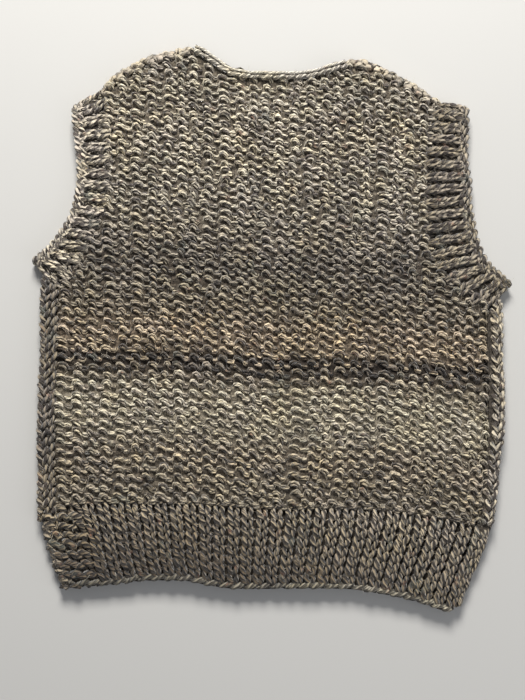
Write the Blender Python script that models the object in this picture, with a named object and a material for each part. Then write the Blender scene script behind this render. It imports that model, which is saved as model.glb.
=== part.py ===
"""Hand-knitted sweater vest, laid flat with its back upwards.

Two knitted layers lie on each other: the front below, flat on the surface, and the back above it.
Rolled seams join them at the sides and shoulders, a ribbed hem closes the bottom, a ribbed band is
folded round each armhole, and a narrow bound-off edge runs round the neck. The front neckline is
deeper than the back one, so the back sinks to the surface inside it.

The tables below are in millimetres in plan: x across the vest, y towards the neck. Objects are built
in metres, +Z up, with the origin at the middle of the resting face.
"""

import math

import bmesh
import bpy
import numpy as np

MILLIMETRE = 0.001
TABLE_MIDDLE = (0.0, 0.55, 0.0)  # the tables' own middle, which becomes the origin

# Driving sizes, in millimetres.
CLOTH = 7.5  # one knitted layer of thick yarn
GAP = 0.3  # between neighbouring pieces
SEAM_GAP = 0.4  # where two curved edges meet along a seam
JOIN_GAP = 0.6  # groove between the hem and the panel above it
UPPER = CLOTH + GAP  # underside of the upper layer
TOP = UPPER + CLOTH  # upper face of the upper layer
FOLD_PLANE = TOP / 2  # the armbands fold round this level

# Knitting.
BODY_ROWS = 51  # rows of purl ridges, hem to neck
LOW_ROWS = 33  # of these, below the neck opening, where the back's underside is flat
ROW_RIDGE = 0.7  # height of a ridge above and below the mean face
HEM_RIBS = 30
HEM_RIB_DEPTH = 1.1
BAND_RIB_DEPTH = 1.0
LEFT_BAND_RIBS = 14
RIGHT_BAND_RIBS = 16
SEAM_STITCH = 10.5  # length of one stitch in a side seam
SEAM_BUMP = 0.6
EDGE_DROP = 1.5  # a panel's rounded rim
RIM = 4.0  # width of that rim

# Armbands from shoulder fold to underarm fold: outer x, outer y, inner x, inner y.
LEFT_BAND = (
    (-217.5, 232.5, -186.0, 250.0),
    (-216.2, 214.0, -182.5, 228.0),
    (-213.6, 196.0, -181.0, 204.0),
    (-211.5, 178.0, -180.0, 182.0),
    (-210.5, 160.0, -180.0, 160.0),
    (-213.0, 142.0, -182.0, 139.0),
    (-216.5, 124.0, -187.5, 119.0),
    (-226.0, 105.0, -196.0, 99.0),
    (-240.0, 87.0, -206.0, 79.0),
    (-247.5, 79.5, -216.0, 62.0),
    (-256.0, 72.0, -227.0, 45.5),
)
RIGHT_BAND = (
    (215.5, 232.0, 183.0, 236.5),
    (215.8, 215.0, 178.0, 219.0),
    (214.4, 196.0, 176.0, 199.0),
    (214.8, 176.0, 174.0, 177.0),
    (217.8, 157.0, 173.0, 156.0),
    (218.0, 138.0, 172.3, 135.0),
    (219.5, 119.0, 173.3, 114.0),
    (223.0, 101.0, 175.5, 93.0),
    (228.5, 82.0, 180.0, 73.0),
    (237.0, 65.5, 189.0, 53.5),
    (246.0, 57.0, 206.0, 36.0),
    (256.0, 47.5, 227.0, 19.5),
)
# Side seams below their top end, which the underarm fold gives: outer x, outer y, inner x, inner y.
LEFT_SEAM = (
    (-249.0, 36.0, -232.3, 27.0),
    (-250.3, 22.0, -232.6, 16.0),
    (-249.2, 4.0, -232.5, 2.0),
    (-248.8, -40.0, -232.0, -40.0),
    (-250.3, -82.0, -233.0, -82.0),
    (-250.8, -125.0, -233.5, -125.0),
    (-249.2, -168.0, -232.5, -168.0),
    (-248.6, -198.0, -231.5, -198.0),
    (-242.5, -217.0, -226.5, -215.0),
    (-235.5, -241.0, -219.5, -238.0),
    (-228.5, -263.0, -212.5, -259.0),
    (-220.5, -281.5, -204.5, -280.5),
)
RIGHT_SEAM = (
    (250.3, 3.0, 230.8, 0.0),
    (250.3, -18.0, 230.5, -18.0),
    (249.6, -40.0, 229.8, -40.0),
    (251.2, -62.0, 231.0, -62.0),
    (250.6, -100.0, 230.5, -100.0),
    (249.0, -125.0, 229.2, -125.0),
    (245.0, -147.0, 226.0, -147.0),
    (243.2, -170.0, 224.5, -170.0),
    (240.5, -190.0, 222.0, -191.0),
    (235.8, -213.0, 218.0, -215.0),
    (230.5, -230.0, 212.5, -233.0),
    (221.5, -252.0, 203.5, -257.0),
    (213.5, -268.0, 196.0, -274.0),
    (206.5, -284.0, 189.5, -291.0),
    (200.5, -299.0, 186.5, -306.0),
)
# Shoulder seams, armband to neck on the left and neck to armband on the right: the same columns.
LEFT_SHOULDER = (
    (-185.3, 259.0, -185.0, 249.0),
    (-179.0, 269.0, -172.0, 261.5),
    (-164.0, 280.0, -158.5, 272.5),
    (-144.0, 291.3, -140.0, 282.8),
    (-123.0, 299.0, -121.0, 290.0),
    (-103.5, 303.0, -102.5, 294.5),
    (-83.0, 307.1, -85.0, 299.0),
)
RIGHT_SHOULDER = (
    (81.2, 290.2, 84.2, 283.6),
    (98.0, 291.8, 98.0, 283.0),
    (117.5, 286.0, 114.5, 277.8),
    (132.0, 278.0, 128.5, 270.0),
    (149.5, 269.0, 145.0, 261.3),
    (167.0, 257.8, 161.5, 250.5),
    (182.2, 245.8, 181.9, 236.0),
)
# Neck edges, left to right: open side x, y, cloth side x, y.
NECK_BACK = (
    (-82.3, 306.8, -84.4, 299.0),
    (-73.0, 302.3, -77.0, 296.5),
    (-58.5, 291.6, -62.0, 286.0),
    (-43.5, 282.8, -46.0, 276.8),
    (-26.0, 280.0, -27.0, 273.8),
    (-8.0, 279.0, -8.5, 273.0),
    (17.0, 279.0, 17.0, 273.0),
    (43.0, 279.5, 43.5, 273.3),
    (64.5, 284.5, 67.0, 278.5),
    (80.5, 290.0, 83.5, 283.5),
)
NECK_FRONT = (
    (-82.3, 306.8, -84.4, 299.0),
    (-76.5, 296.0, -82.5, 291.0),
    (-73.5, 281.0, -79.5, 280.0),
    (-70.0, 262.0, -76.0, 260.0),
    (-59.0, 240.0, -64.0, 236.0),
    (-41.0, 223.0, -44.5, 217.8),
    (-18.0, 214.0, -19.5, 208.0),
    (8.0, 212.5, 8.5, 206.5),
    (32.0, 218.0, 34.5, 212.3),
    (52.0, 232.0, 56.5, 227.5),
    (65.0, 252.0, 71.0, 249.5),
    (70.5, 270.0, 76.5, 269.0),
    (75.0, 282.5, 80.5, 279.0),
    (80.5, 290.0, 83.5, 283.5),
)
# Hem: the line where it joins the panels, and its lower edge: x, y.
HEM_JOIN = (
    (-232.0, -198.0),
    (-199.0, -195.6),
    (-140.0, -195.6),
    (-76.0, -196.8),
    (-10.0, -200.8),
    (62.0, -201.0),
    (110.0, -202.5),
    (142.0, -206.0),
    (185.0, -212.0),
    (219.0, -221.0),
)
HEM_EDGE = (
    (-204.0, -280.5),
    (-187.0, -279.0),
    (-166.0, -277.8),
    (-134.0, -273.8),
    (-92.0, -273.8),
    (-71.0, -277.6),
    (-39.0, -282.0),
    (20.0, -282.0),
    (78.0, -282.2),
    (110.0, -286.2),
    (142.0, -292.5),
    (163.0, -298.8),
    (186.0, -306.0),
)
# Soft folds in the upper face: x and y of two ends, half width, height.
FOLDS = (
    (-236.0, -44.0, -20.0, -50.0, 9.0, 1.2),
    (-20.0, -50.0, 232.0, -68.0, 9.0, 1.0),
    (-46.0, -62.0, -38.0, -190.0, 8.0, -0.8),
    (150.0, 60.0, 205.0, 20.0, 14.0, 0.9),
    (-160.0, 90.0, -212.0, 42.0, 13.0, 0.8),
    (-150.0, -100.0, -215.0, -190.0, 16.0, 0.7),
)

# A rolled seam's section: distance in from the outer edge, height, as shares of its width and height.
ROLL = (
    (1.0, 0.0),
    (0.14, 0.0),
    (0.0, 0.22),
    (0.0, 0.68),
    (0.16, 0.93),
    (0.5, 1.0),
    (0.84, 0.96),
    (1.0, 0.86),
)
# An armband's section: distance in from the outer edge, share of the cloth's thickness, rib share.
BAND = (
    (1.0, 0.0, 0.0),
    (0.1, 0.0, 0.0),
    (0.0, 0.3, 0.0),
    (0.0, 0.7, 0.0),
    (0.12, 0.97, 0.5),
    (0.5, 1.0, 1.0),
    (0.88, 1.0, 0.7),
    (1.0, 0.84, 0.0),
)

# Neck opening of the front layer, in which the back layer sinks: centre x, y and half sizes.
OPENING = (-1.0, 283.0, 72.0, 68.0)
OPENING_RIM = 0.2  # share of the opening's measure over which nothing sinks
SINK = CLOTH  # how far the back sinks at its middle

# Material colours by piece: linear RGB.
BODY_YARN = (0.20, 0.175, 0.15)
RIB_YARN = (0.17, 0.155, 0.145)
SEAM_YARN = (0.19, 0.17, 0.15)
EDGE_YARN = (0.32, 0.29, 0.24)


def smooth_rows(rows, places):
    """The table's rows at the given places, counted in rows, on a smooth curve through them."""
    table = np.array(rows, float)
    last = len(table) - 1
    first_extra = 2 * table[0] - table[1]
    last_extra = 2 * table[-1] - table[-2]
    padded = np.vstack([first_extra, table, last_extra])
    found = []
    for place in places:
        start = min(int(place), last - 1)
        t = place - start
        a, b, c, d = padded[start : start + 4]
        found.append(
            b
            + 0.5 * t * (c - a)
            + t * t * (a - 2.5 * b + 2 * c - 0.5 * d)
            + t**3 * (1.5 * (b - c) + 0.5 * (d - a))
        )
    return np.array(found)


def even_rows(rows, count):
    """count + 1 rows of the smooth curve, evenly spaced along the middle of a strip or a line."""
    fine = smooth_rows(rows, np.linspace(0, len(rows) - 1, 400))
    middle = fine.reshape(len(fine), -1, 2).mean(axis=1)
    steps = np.hypot(*np.diff(middle, axis=0).T)
    length = np.concatenate([[0], np.cumsum(steps)])
    wanted = np.linspace(0, length[-1], count + 1)
    return np.column_stack([np.interp(wanted, length, column) for column in fine.T])


def moved_aside(line, distance):
    """A plan line moved to its left by a distance."""
    along = np.gradient(line, axis=0)
    along /= np.linalg.norm(along, axis=1)[:, None]
    return line + distance * np.column_stack([-along[:, 1], along[:, 0]])


def mid_line_length(rows):
    middle = np.array(rows, float).reshape(len(rows), -1, 2).mean(axis=1)
    return np.hypot(*np.diff(middle, axis=0).T).sum()


def material(name, colour):
    made = bpy.data.materials.new(name)
    made.use_nodes = True
    shader = made.node_tree.nodes["Principled BSDF"]
    shader.inputs["Base Color"].default_value = (*colour, 1.0)
    shader.inputs["Roughness"].default_value = 0.95
    shader.inputs["Metallic"].default_value = 0.0
    return made


def finish(name, mesh_builder, colour, collection):
    """Turns a bmesh in millimetres into a named object in metres, with its faces pointing out."""
    bmesh.ops.recalc_face_normals(mesh_builder, faces=mesh_builder.faces)
    if mesh_builder.calc_volume(signed=True) < 0:
        bmesh.ops.reverse_faces(mesh_builder, faces=mesh_builder.faces)
    many_sided = [face for face in mesh_builder.faces if len(face.verts) > 4]
    bmesh.ops.triangulate(mesh_builder, faces=many_sided, ngon_method="BEAUTY")
    to_origin = [-value for value in TABLE_MIDDLE]
    bmesh.ops.translate(mesh_builder, vec=to_origin, verts=mesh_builder.verts)
    bmesh.ops.scale(mesh_builder, vec=[MILLIMETRE] * 3, verts=mesh_builder.verts)
    mesh = bpy.data.meshes.new(name)
    mesh_builder.to_mesh(mesh)
    mesh_builder.free()
    mesh.shade_smooth()
    mesh.set_sharp_from_angle(angle=math.radians(50))
    piece = bpy.data.objects.new(name, mesh)
    mesh.materials.append(material(name + "_yarn", colour))
    collection.objects.link(piece)
    return piece


def loft(name, rings, colour, collection, closed=False):
    """A solid through rings of equal count, joined end to end or capped."""
    builder = bmesh.new()
    made = [[builder.verts.new(point) for point in ring] for ring in rings]
    count = len(made[0])
    pairs = list(zip(made, made[1:]))
    if closed:
        pairs.append((made[-1], made[0]))
    for one, other in pairs:
        for k in range(count):
            after = (k + 1) % count
            builder.faces.new([one[k], one[after], other[after], other[k]])
    if not closed:
        builder.faces.new(made[0])
        builder.faces.new(made[-1])
    return finish(name, builder, colour, collection)


def rim_and_marks(rows, columns, row_marks, column_marks):
    """Which points of a grid are kept: all along its rim, and inside it only the marked ones."""
    kept = np.zeros((rows, columns), bool)
    kept[np.ix_(row_marks, column_marks)] = True
    kept[[0, -1], :] = True
    kept[:, [0, -1]] = True
    return kept


def face_of_wall(builder, grid, row_marks, column_marks):
    """One face of a wall from a grid of points. Cells at the rim take in every rim point."""
    rows, columns = grid.shape[:2]
    kept = rim_and_marks(rows, columns, row_marks, column_marks)
    made = {(i, j): builder.verts.new(grid[i, j]) for i, j in zip(*np.nonzero(kept))}
    for low, high in zip(row_marks, row_marks[1:]):
        for left, right in zip(column_marks, column_marks[1:]):
            walk = [(low, j) for j in range(left, right)]
            walk += [(i, right) for i in range(low, high)]
            walk += [(high, j) for j in range(right, left, -1)]
            walk += [(i, left) for i in range(high, low, -1)]
            corners = [made[place] for place in walk if place in made]
            builder.faces.new(corners)
    return made


def wall(name, upper, lower, upper_marks, lower_marks, colour, collection):
    """A cloth wall between two grids of points with the same rim."""
    rows, columns = upper.shape[:2]
    builder = bmesh.new()
    above = face_of_wall(builder, upper, *upper_marks)
    below = face_of_wall(builder, lower, *lower_marks)
    rim = [(0, j) for j in range(columns - 1)]
    rim += [(i, columns - 1) for i in range(rows - 1)]
    rim += [(rows - 1, j) for j in range(columns - 1, 0, -1)]
    rim += [(i, 0) for i in range(rows - 1, 0, -1)]
    for one, other in zip(rim, rim[1:] + rim[:1]):
        builder.faces.new([above[one], above[other], below[other], below[one]])
    return finish(name, builder, colour, collection)


def smoothstep(value):
    t = np.clip(value, 0.0, 1.0)
    return t * t * (3 - 2 * t)


def sunk(x, y):
    """How far the back layer sinks inside the front layer's neck opening."""
    middle_x, middle_y, half_x, half_y = OPENING
    across = (x - middle_x) / half_x
    down = np.minimum(y - middle_y, 0.0) / half_y
    inside = 1.0 - across**2 - down**2
    return SINK * smoothstep((inside - OPENING_RIM) / (0.95 - OPENING_RIM))


def fold_height(x, y):
    """Height of the soft folds at a place on the upper face."""
    height = np.zeros_like(x)
    for x0, y0, x1, y1, half_width, rise in FOLDS:
        along = np.array([x1 - x0, y1 - y0])
        length = np.hypot(*along)
        t = ((x - x0) * along[0] + (y - y0) * along[1]) / length**2
        off = np.hypot(x - x0 - np.clip(t, 0, 1) * along[0], y - y0 - np.clip(t, 0, 1) * along[1])
        height += rise * smoothstep(1.0 - off / (2 * half_width))
    return height


def armband_rings(rows, ribs):
    """Rings of a band folded flat: out along the upper layer, round, back along the lower one."""
    stations = even_rows(rows, ribs * 4)
    plain = stations[::4]
    fold_angles = np.radians([36, 72, 108, 144])
    rings = []

    def add(row, angle, rib, bulge):
        outer, inner = row[:2], row[2:]
        ring = []
        for inward, share, ribbed in BAND:
            place = outer + inward * (inner - outer)
            off = GAP / 2 + share * CLOTH
            out_and_up = place + bulge * off * math.sin(angle)
            height = FOLD_PLANE + off * math.cos(angle) + rib * ribbed
            ring.append((*out_and_up, height))
        rings.append(ring)

    def tangent(one, other):
        step = (one - other).reshape(2, 2).mean(axis=0)
        return step / np.hypot(*step)

    flat = np.zeros(2)
    for number, row in enumerate(stations):
        rib = -BAND_RIB_DEPTH * math.cos(math.tau * number / 4)
        if number in (0, len(stations) - 1):
            rib = 0.0
        add(row, 0.0, rib, flat)
    underarm = across_the_fold(stations[-1], tangent(stations[-1], stations[-2]))
    for angle in fold_angles:
        add(stations[-1], angle, 0.0, underarm)
    for row in plain[::-1]:
        add(row, math.pi, 0.0, flat)
    shoulder = np.array([0.0, 1.0])
    for angle in fold_angles[::-1]:
        add(stations[0], angle, 0.0, shoulder)
    return rings


def across_the_fold(row, towards):
    """The direction square to a fold line, on the side of a given direction."""
    line = row[2:] - row[:2]
    square = np.array([-line[1], line[0]]) / np.hypot(*line)
    return square if square @ towards > 0 else -square


def seam_top(band):
    """A side seam's first row, just below the underarm fold of its armband."""
    last = np.array(band[-1])
    before = np.array(band[-2])
    towards = (last - before).reshape(2, 2).mean(axis=0)
    out = across_the_fold(last, towards) * (FOLD_PLANE + SEAM_GAP)
    outer, inner = last[:2], last[2:]
    return (*(outer + 0.46 * (inner - outer) + out), *(inner + out))


def seam_rows(band, rows):
    return [seam_top(band), *rows]


def seam_rings(rows, stitch):
    """Rings of a rolled seam that reaches from the surface to the upper face, with its stitches."""
    count = 2 * round(mid_line_length(rows) / stitch)
    rings = []
    for number, row in enumerate(even_rows(rows, count)):
        outer, inner = row[:2], row[2:]
        bump = SEAM_BUMP * (1 if number % 2 else -1)
        width = np.hypot(*(inner - outer))
        ring = []
        for inward, rise in ROLL:
            raised = bump * smoothstep(rise) * (1 - inward)
            place = outer + (inward - raised / width) * (inner - outer)
            ring.append((*place, rise * (TOP + 0.8) + raised))
        rings.append(ring)
    return rings


def edge_rings(rows, foot, height):
    """Rings of a strip with a ring for each row: foot gives its underside's level at a place."""
    rings = []
    for row in np.array(rows):
        outer, inner = row[:2], row[2:]
        ring = []
        for inward, rise in ROLL:
            place = outer + inward * (inner - outer)
            ring.append((*place, float(foot(*place)) + rise * height))
        rings.append(ring)
    return rings


def side_line(seam, band, fold_corner, side):
    """The edge that a panel keeps to at one side: along the seam, then along the armband."""
    seam_inner = even_rows(seam, 80)[::-1, 2:]
    band_inner = even_rows(band, 60)[::-1, 2:]
    line = np.vstack([seam_inner, fold_corner, band_inner])
    return moved_aside(line, side * SEAM_GAP)


def fold_corner(band):
    """The inner end of an armband's underarm fold, at its furthest out."""
    last = np.array(band[-1])
    towards = (last - np.array(band[-2])).reshape(2, 2).mean(axis=0)
    return last[2:] + across_the_fold(last, towards) * (FOLD_PLANE - GAP)


def panel_grid(left, right, bottom, top, rows):
    """Plan points between four edges: near-level rows, which bend only to meet bottom and top."""
    columns = len(top)
    grid = np.zeros((rows + 1, columns, 2))
    for i in range(rows + 1):
        v = i / rows
        left_y = bottom[0][1] + v * (top[0][1] - bottom[0][1])
        right_y = bottom[-1][1] + v * (top[-1][1] - bottom[-1][1])
        start = np.array([np.interp(left_y, left[:, 1], left[:, 0]), left_y])
        end = np.array([np.interp(right_y, right[:, 1], right[:, 0]), right_y])
        for j in range(columns):
            u_bottom = share(bottom, j)
            u_top = share(top, j)
            u = u_bottom + v * (u_top - u_bottom)
            point = start + u * (end - start)
            point += (1 - v) * (bottom[j] - along(bottom, u_bottom))
            point += v * v * (top[j] - along(top, u_top))
            if v in (0.0, 1.0):
                point = bottom[j] if v == 0.0 else top[j]
            if j == 0:
                point = start
            if j == columns - 1:
                point = end
            grid[i, j] = point
    return grid


def share(line, j):
    return (line[j][0] - line[0][0]) / (line[-1][0] - line[0][0])


def along(line, u):
    return line[0] + u * (line[-1] - line[0])


def with_rims(line, rim):
    """A line with one more point near each end, for a rounded rim."""
    first = line[0] + (line[1] - line[0]) * rim / np.hypot(*(line[1] - line[0]))
    last = line[-1] + (line[-2] - line[-1]) * rim / np.hypot(*(line[-2] - line[-1]))
    return np.vstack([line[:1], first, line[1:-1], last, line[-1:]])


def top_line(neck):
    """A panel's top edge: along the left shoulder, the neck and the right shoulder."""
    rows = [*LEFT_SHOULDER, *neck[1:], *RIGHT_SHOULDER[1:]]
    line = np.array(rows)[:, 2:]
    return with_rims(moved_aside(line, -SEAM_GAP), RIM)


def bottom_line(left, right, columns):
    """A panel's lower edge along the hem's join line, between its two side lines."""
    join = even_rows(HEM_JOIN, 200)
    left_x = x_at(left, HEM_JOIN[0][1] + JOIN_GAP)
    right_x = x_at(right, HEM_JOIN[-1][1] + JOIN_GAP)
    xs = np.linspace(left_x, right_x, columns - 2)
    ys = np.interp(xs, join[:, 0], join[:, 1])
    return with_rims(np.column_stack([xs, ys]) + (0, JOIN_GAP), RIM)


def marks(count, step):
    return [*range(0, count, step), count]


def with_height(grid, height):
    return np.dstack([grid, np.broadcast_to(height, grid.shape[:2])])


def side_lines():
    left = side_line(
        seam_rows(LEFT_BAND, LEFT_SEAM), LEFT_BAND, fold_corner(LEFT_BAND), -1
    )
    right = side_line(
        seam_rows(RIGHT_BAND, RIGHT_SEAM), RIGHT_BAND, fold_corner(RIGHT_BAND), 1
    )
    return left, right


def x_at(line, y):
    return np.interp(y, line[:, 1], line[:, 0])


def back_panel(collection):
    left, right = side_lines()
    top = top_line(NECK_BACK)
    bottom = bottom_line(left, right, len(top))
    rows = 2 * BODY_ROWS
    plan = panel_grid(left, right, bottom, top, rows)
    x, y = plan[..., 0], plan[..., 1]
    underside = UPPER - sunk(x, y)
    ridge = np.where(np.arange(rows + 1) % 2, ROW_RIDGE, -ROW_RIDGE)[:, None]
    rim = np.zeros(x.shape)
    rim[:, [0, -1]] = EDGE_DROP
    rim[[0, -1], :] = EDGE_DROP
    face = underside + CLOTH + ridge + fold_height(x, y) - rim
    all_columns = marks(len(top) - 1, 1)
    sparse_rows = [*range(0, 2 * LOW_ROWS, 6), *marks(rows, 3)[2 * LOW_ROWS // 3 :]]
    return wall(
        "back_panel",
        with_height(plan, face),
        with_height(plan, underside),
        (marks(rows, 1), all_columns),
        (sparse_rows, all_columns),
        BODY_YARN,
        collection,
    )


def front_panel(collection):
    left, right = side_lines()
    top = top_line(NECK_FRONT)
    bottom = bottom_line(left, right, len(top))
    rows = BODY_ROWS
    plan = panel_grid(left, right, bottom, top, rows)
    sparse = (marks(rows, 8), marks(len(top) - 1, 3))
    return wall(
        "front_panel",
        with_height(plan, CLOTH),
        with_height(plan, 0.0),
        sparse,
        sparse,
        BODY_YARN,
        collection,
    )


def hem_plan(columns, rows):
    """Plan points of a hem layer between the side seams, from the join line to the lower edge."""
    left = moved_aside(even_rows(LEFT_SEAM, 80)[::-1, 2:], -SEAM_GAP)
    right = moved_aside(even_rows(RIGHT_SEAM, 80)[::-1, 2:], SEAM_GAP)
    join = even_rows(HEM_JOIN, 200)
    edge = even_rows(HEM_EDGE, 200)
    grid = np.zeros((rows + 1, columns + 1, 2))
    for i in range(rows + 1):
        v = i / rows
        left_y = HEM_JOIN[0][1] + v * (HEM_EDGE[0][1] - HEM_JOIN[0][1])
        right_y = HEM_JOIN[-1][1] + v * (HEM_EDGE[-1][1] - HEM_JOIN[-1][1])
        left_x, right_x = x_at(left, left_y), x_at(right, right_y)
        for j in range(columns + 1):
            u = j / columns
            x = left_x + u * (right_x - left_x)
            upper_y = np.interp(x, join[:, 0], join[:, 1])
            lower_y = np.interp(x, edge[:, 0], edge[:, 1])
            y = upper_y + v * (lower_y - upper_y)
            if j == 0:
                y = left_y
            if j == columns:
                y = right_y
            grid[i, j] = (x, y)
    return grid[::-1]


def back_hem(collection):
    per_rib = 4
    columns, rows = HEM_RIBS * per_rib, 12
    plan = hem_plan(columns, rows)
    across = np.arange(columns + 1) / per_rib
    crown = 1 - 2 * np.abs(np.cos(math.pi * across)) ** 1.5
    rib = HEM_RIB_DEPTH * crown[None, :]
    rim = np.zeros((rows + 1, 1))
    rim[[0, -1]] = 2 * EDGE_DROP
    face = TOP + rib - rim + fold_height(plan[..., 0], plan[..., 1])
    return wall(
        "back_hem_rib",
        with_height(plan, face),
        with_height(plan, UPPER),
        ([0, 1, 4, 8, 11, 12], marks(columns, 1)),
        ([0, 6, 12], marks(columns, 12)),
        RIB_YARN,
        collection,
    )


def front_hem(collection):
    columns, rows = HEM_RIBS, 12
    plan = hem_plan(columns, rows)
    sparse = (marks(rows, 6), marks(columns, 5))
    return wall(
        "front_hem_rib",
        with_height(plan, CLOTH),
        with_height(plan, 0.0),
        sparse,
        sparse,
        RIB_YARN,
        collection,
    )


def build():
    for old in list(bpy.data.objects):
        bpy.data.objects.remove(old, do_unlink=True)
    collection = bpy.data.collections.new("knitted_sweater_vest")
    bpy.context.scene.collection.children.link(collection)

    back_panel(collection)
    front_panel(collection)
    back_hem(collection)
    front_hem(collection)
    bands = (("left", LEFT_BAND, LEFT_BAND_RIBS), ("right", RIGHT_BAND, RIGHT_BAND_RIBS))
    for side, band, ribs in bands:
        rings = armband_rings(band, ribs)
        loft("armband_" + side, rings, RIB_YARN, collection, closed=True)
    seams = (("left", LEFT_BAND, LEFT_SEAM), ("right", RIGHT_BAND, RIGHT_SEAM))
    for side, band, seam in seams:
        rings = seam_rings(seam_rows(band, seam), SEAM_STITCH)
        loft("side_seam_" + side, rings, SEAM_YARN, collection)

    def on_surface(x, y):
        return 0.0

    def on_front(x, y):
        return UPPER - sunk(x, y)

    for side, rows in (("left", LEFT_SHOULDER), ("right", RIGHT_SHOULDER)):
        rings = edge_rings(rows, on_surface, TOP)
        loft("shoulder_seam_" + side, rings, SEAM_YARN, collection)
    loft("neck_edge_back", edge_rings(NECK_BACK, on_front, CLOTH), EDGE_YARN, collection)
    loft("neck_edge_front", edge_rings(NECK_FRONT, on_surface, CLOTH), EDGE_YARN, collection)


build()
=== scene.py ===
"""Hand-knitted sweater vest, laid flat with its back upwards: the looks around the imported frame.

Every knitted piece is worked in yarn, loop by loop, over a thin cloth on its solid's form: both
layers, the hem, the armbands, the rolled seams and the bound-off edges. The back, which shows,
is worked with three thin strands held together.

Tables and lengths are in millimetres, as in the vest's cut: x across it, y towards the neck, z up
from the surface. A skein turns them into metres about the frame's origin.
"""

import math

import bpy
import numpy as np
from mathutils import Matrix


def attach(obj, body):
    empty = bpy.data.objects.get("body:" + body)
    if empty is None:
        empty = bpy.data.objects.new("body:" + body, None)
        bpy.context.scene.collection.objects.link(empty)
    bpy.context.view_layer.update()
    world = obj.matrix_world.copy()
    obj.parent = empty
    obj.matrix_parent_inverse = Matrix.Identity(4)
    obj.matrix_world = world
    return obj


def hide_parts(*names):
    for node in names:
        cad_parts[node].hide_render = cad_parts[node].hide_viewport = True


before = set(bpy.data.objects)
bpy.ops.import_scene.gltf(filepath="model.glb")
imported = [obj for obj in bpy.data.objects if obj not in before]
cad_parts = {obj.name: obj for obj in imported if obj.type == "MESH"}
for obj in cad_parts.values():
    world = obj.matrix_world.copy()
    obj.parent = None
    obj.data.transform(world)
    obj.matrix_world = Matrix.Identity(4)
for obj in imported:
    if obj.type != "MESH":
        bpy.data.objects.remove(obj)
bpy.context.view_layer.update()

chance = np.random.default_rng(11)

MILLIMETRE = 0.001
TABLE_MIDDLE = np.array([0.0, 0.55, 0.0])  # the tables' own middle, which is the frame's origin

# The cloth, as the frame has it.
CLOTH = 7.5
GAP = 0.3
TOP = CLOTH + GAP + CLOTH
FOLD_PLANE = TOP / 2
SEAM_GAP = 0.4
PROUD = 0.9  # how far the crowns of the loops stand out of a solid's face

# Yarn and gauge.
YARN = 3.0  # radius of the yarn
BODY_DEPTH = 1.7  # half the depth of a body loop
PLY_TWIST = math.tau / 60.0  # turn of the plies, radians a millimetre
HELD_TWIST = math.tau / 56.0  # turn of the three strands that are held together in the back
HELD_SHADES = (0.15, 0.5, 0.85)  # their shades among the dyes
# As shares of the yarn's radius: how far they lie beside and above its middle, and their own.
HELD_ACROSS, HELD_ABOVE, HELD_RADIUS = 0.54, 0.46, 0.47
MAP_LENGTH = 100.0  # yarn in one unit of the yarn map
BODY_STITCHES = 30
JOIN_Y, RIGHT_JOIN_Y = -200.0, -215.0  # where the body's rows start, at the left and the right
ROW_TILT = 0.045  # fall of the upper rows towards the right
ROW_LOW, ROW_HIGH = 10.2, 8.5  # height of a body row at the hem and at the neck
BODY_RISE = 500.0  # length of knitting above the hem
HEM_ROWS = 8
HEM_COLUMNS = 31
PURL_COLUMNS = 3  # the hem's first columns at the left, which turn their purl side out
LEFT_BAND_RIBS, RIGHT_BAND_RIBS = 14, 16

# How uneven loops are, in stitches and rows: across, in height, in depth and in slant.
UNEVEN_SPREAD, UNEVEN_HEIGHT, UNEVEN_LIFT, UNEVEN_LEAN = 0.06, 0.10, 0.20, 0.10

# Sections of a three-ply strand, and of one of the three that are held together in the back:
# share of the radius, angle in degrees.
PLY_SECTION = tuple(((1.04, 0.92)[corner % 2], 60.0 * corner) for corner in range(6))
HELD_SECTION = tuple((1.0, 90.0 * corner) for corner in range(4))

# A purl loop from the sinker on its left to just before the one on its right: stitches across,
# rows up, depth towards the face that shows: 1 is the crown and -1 the innermost.
PURL_LOOP = (
    (-0.50, -0.80, 0.85),
    (-0.40, -0.87, 0.65),
    (-0.31, -0.72, -0.90),
    (-0.27, -0.10, -1.70),
    (-0.24, 0.48, -0.80),
    (-0.16, 0.68, 0.70),
    (-0.02, 0.69, 1.00),
    (0.12, 0.56, 0.95),
    (0.22, 0.36, 0.55),
    (0.27, 0.00, -1.10),
    (0.29, -0.52, -1.50),
    (0.38, -0.74, 0.10),
)
# Half of a knit loop from its head to the sinker beside it, in the same way.
KNIT_LOOP = (
    (0.00, 0.86, -2.30),
    (0.14, 0.82, -1.40),
    (0.25, 0.62, 0.20),
    (0.255, 0.26, 1.00),
    (0.195, -0.12, 1.05),
    (0.11, -0.46, 0.40),
    (0.15, -0.74, -1.80),
    (0.50, -0.72, -2.80),
)
# A rib stands between two purl valleys, which lie deep.
RIB_LOOP = (
    (0.00, 1.00, -0.50),
    (0.12, 0.92, -0.20),
    (0.21, 0.58, 0.70),
    (0.18, 0.15, 1.00),
    (0.12, -0.28, 0.80),
    (0.07, -0.60, 0.20),
    (0.20, -0.74, -1.20),
    (0.36, -0.50, -1.90),
    (0.50, 0.05, -1.60),
)

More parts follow.
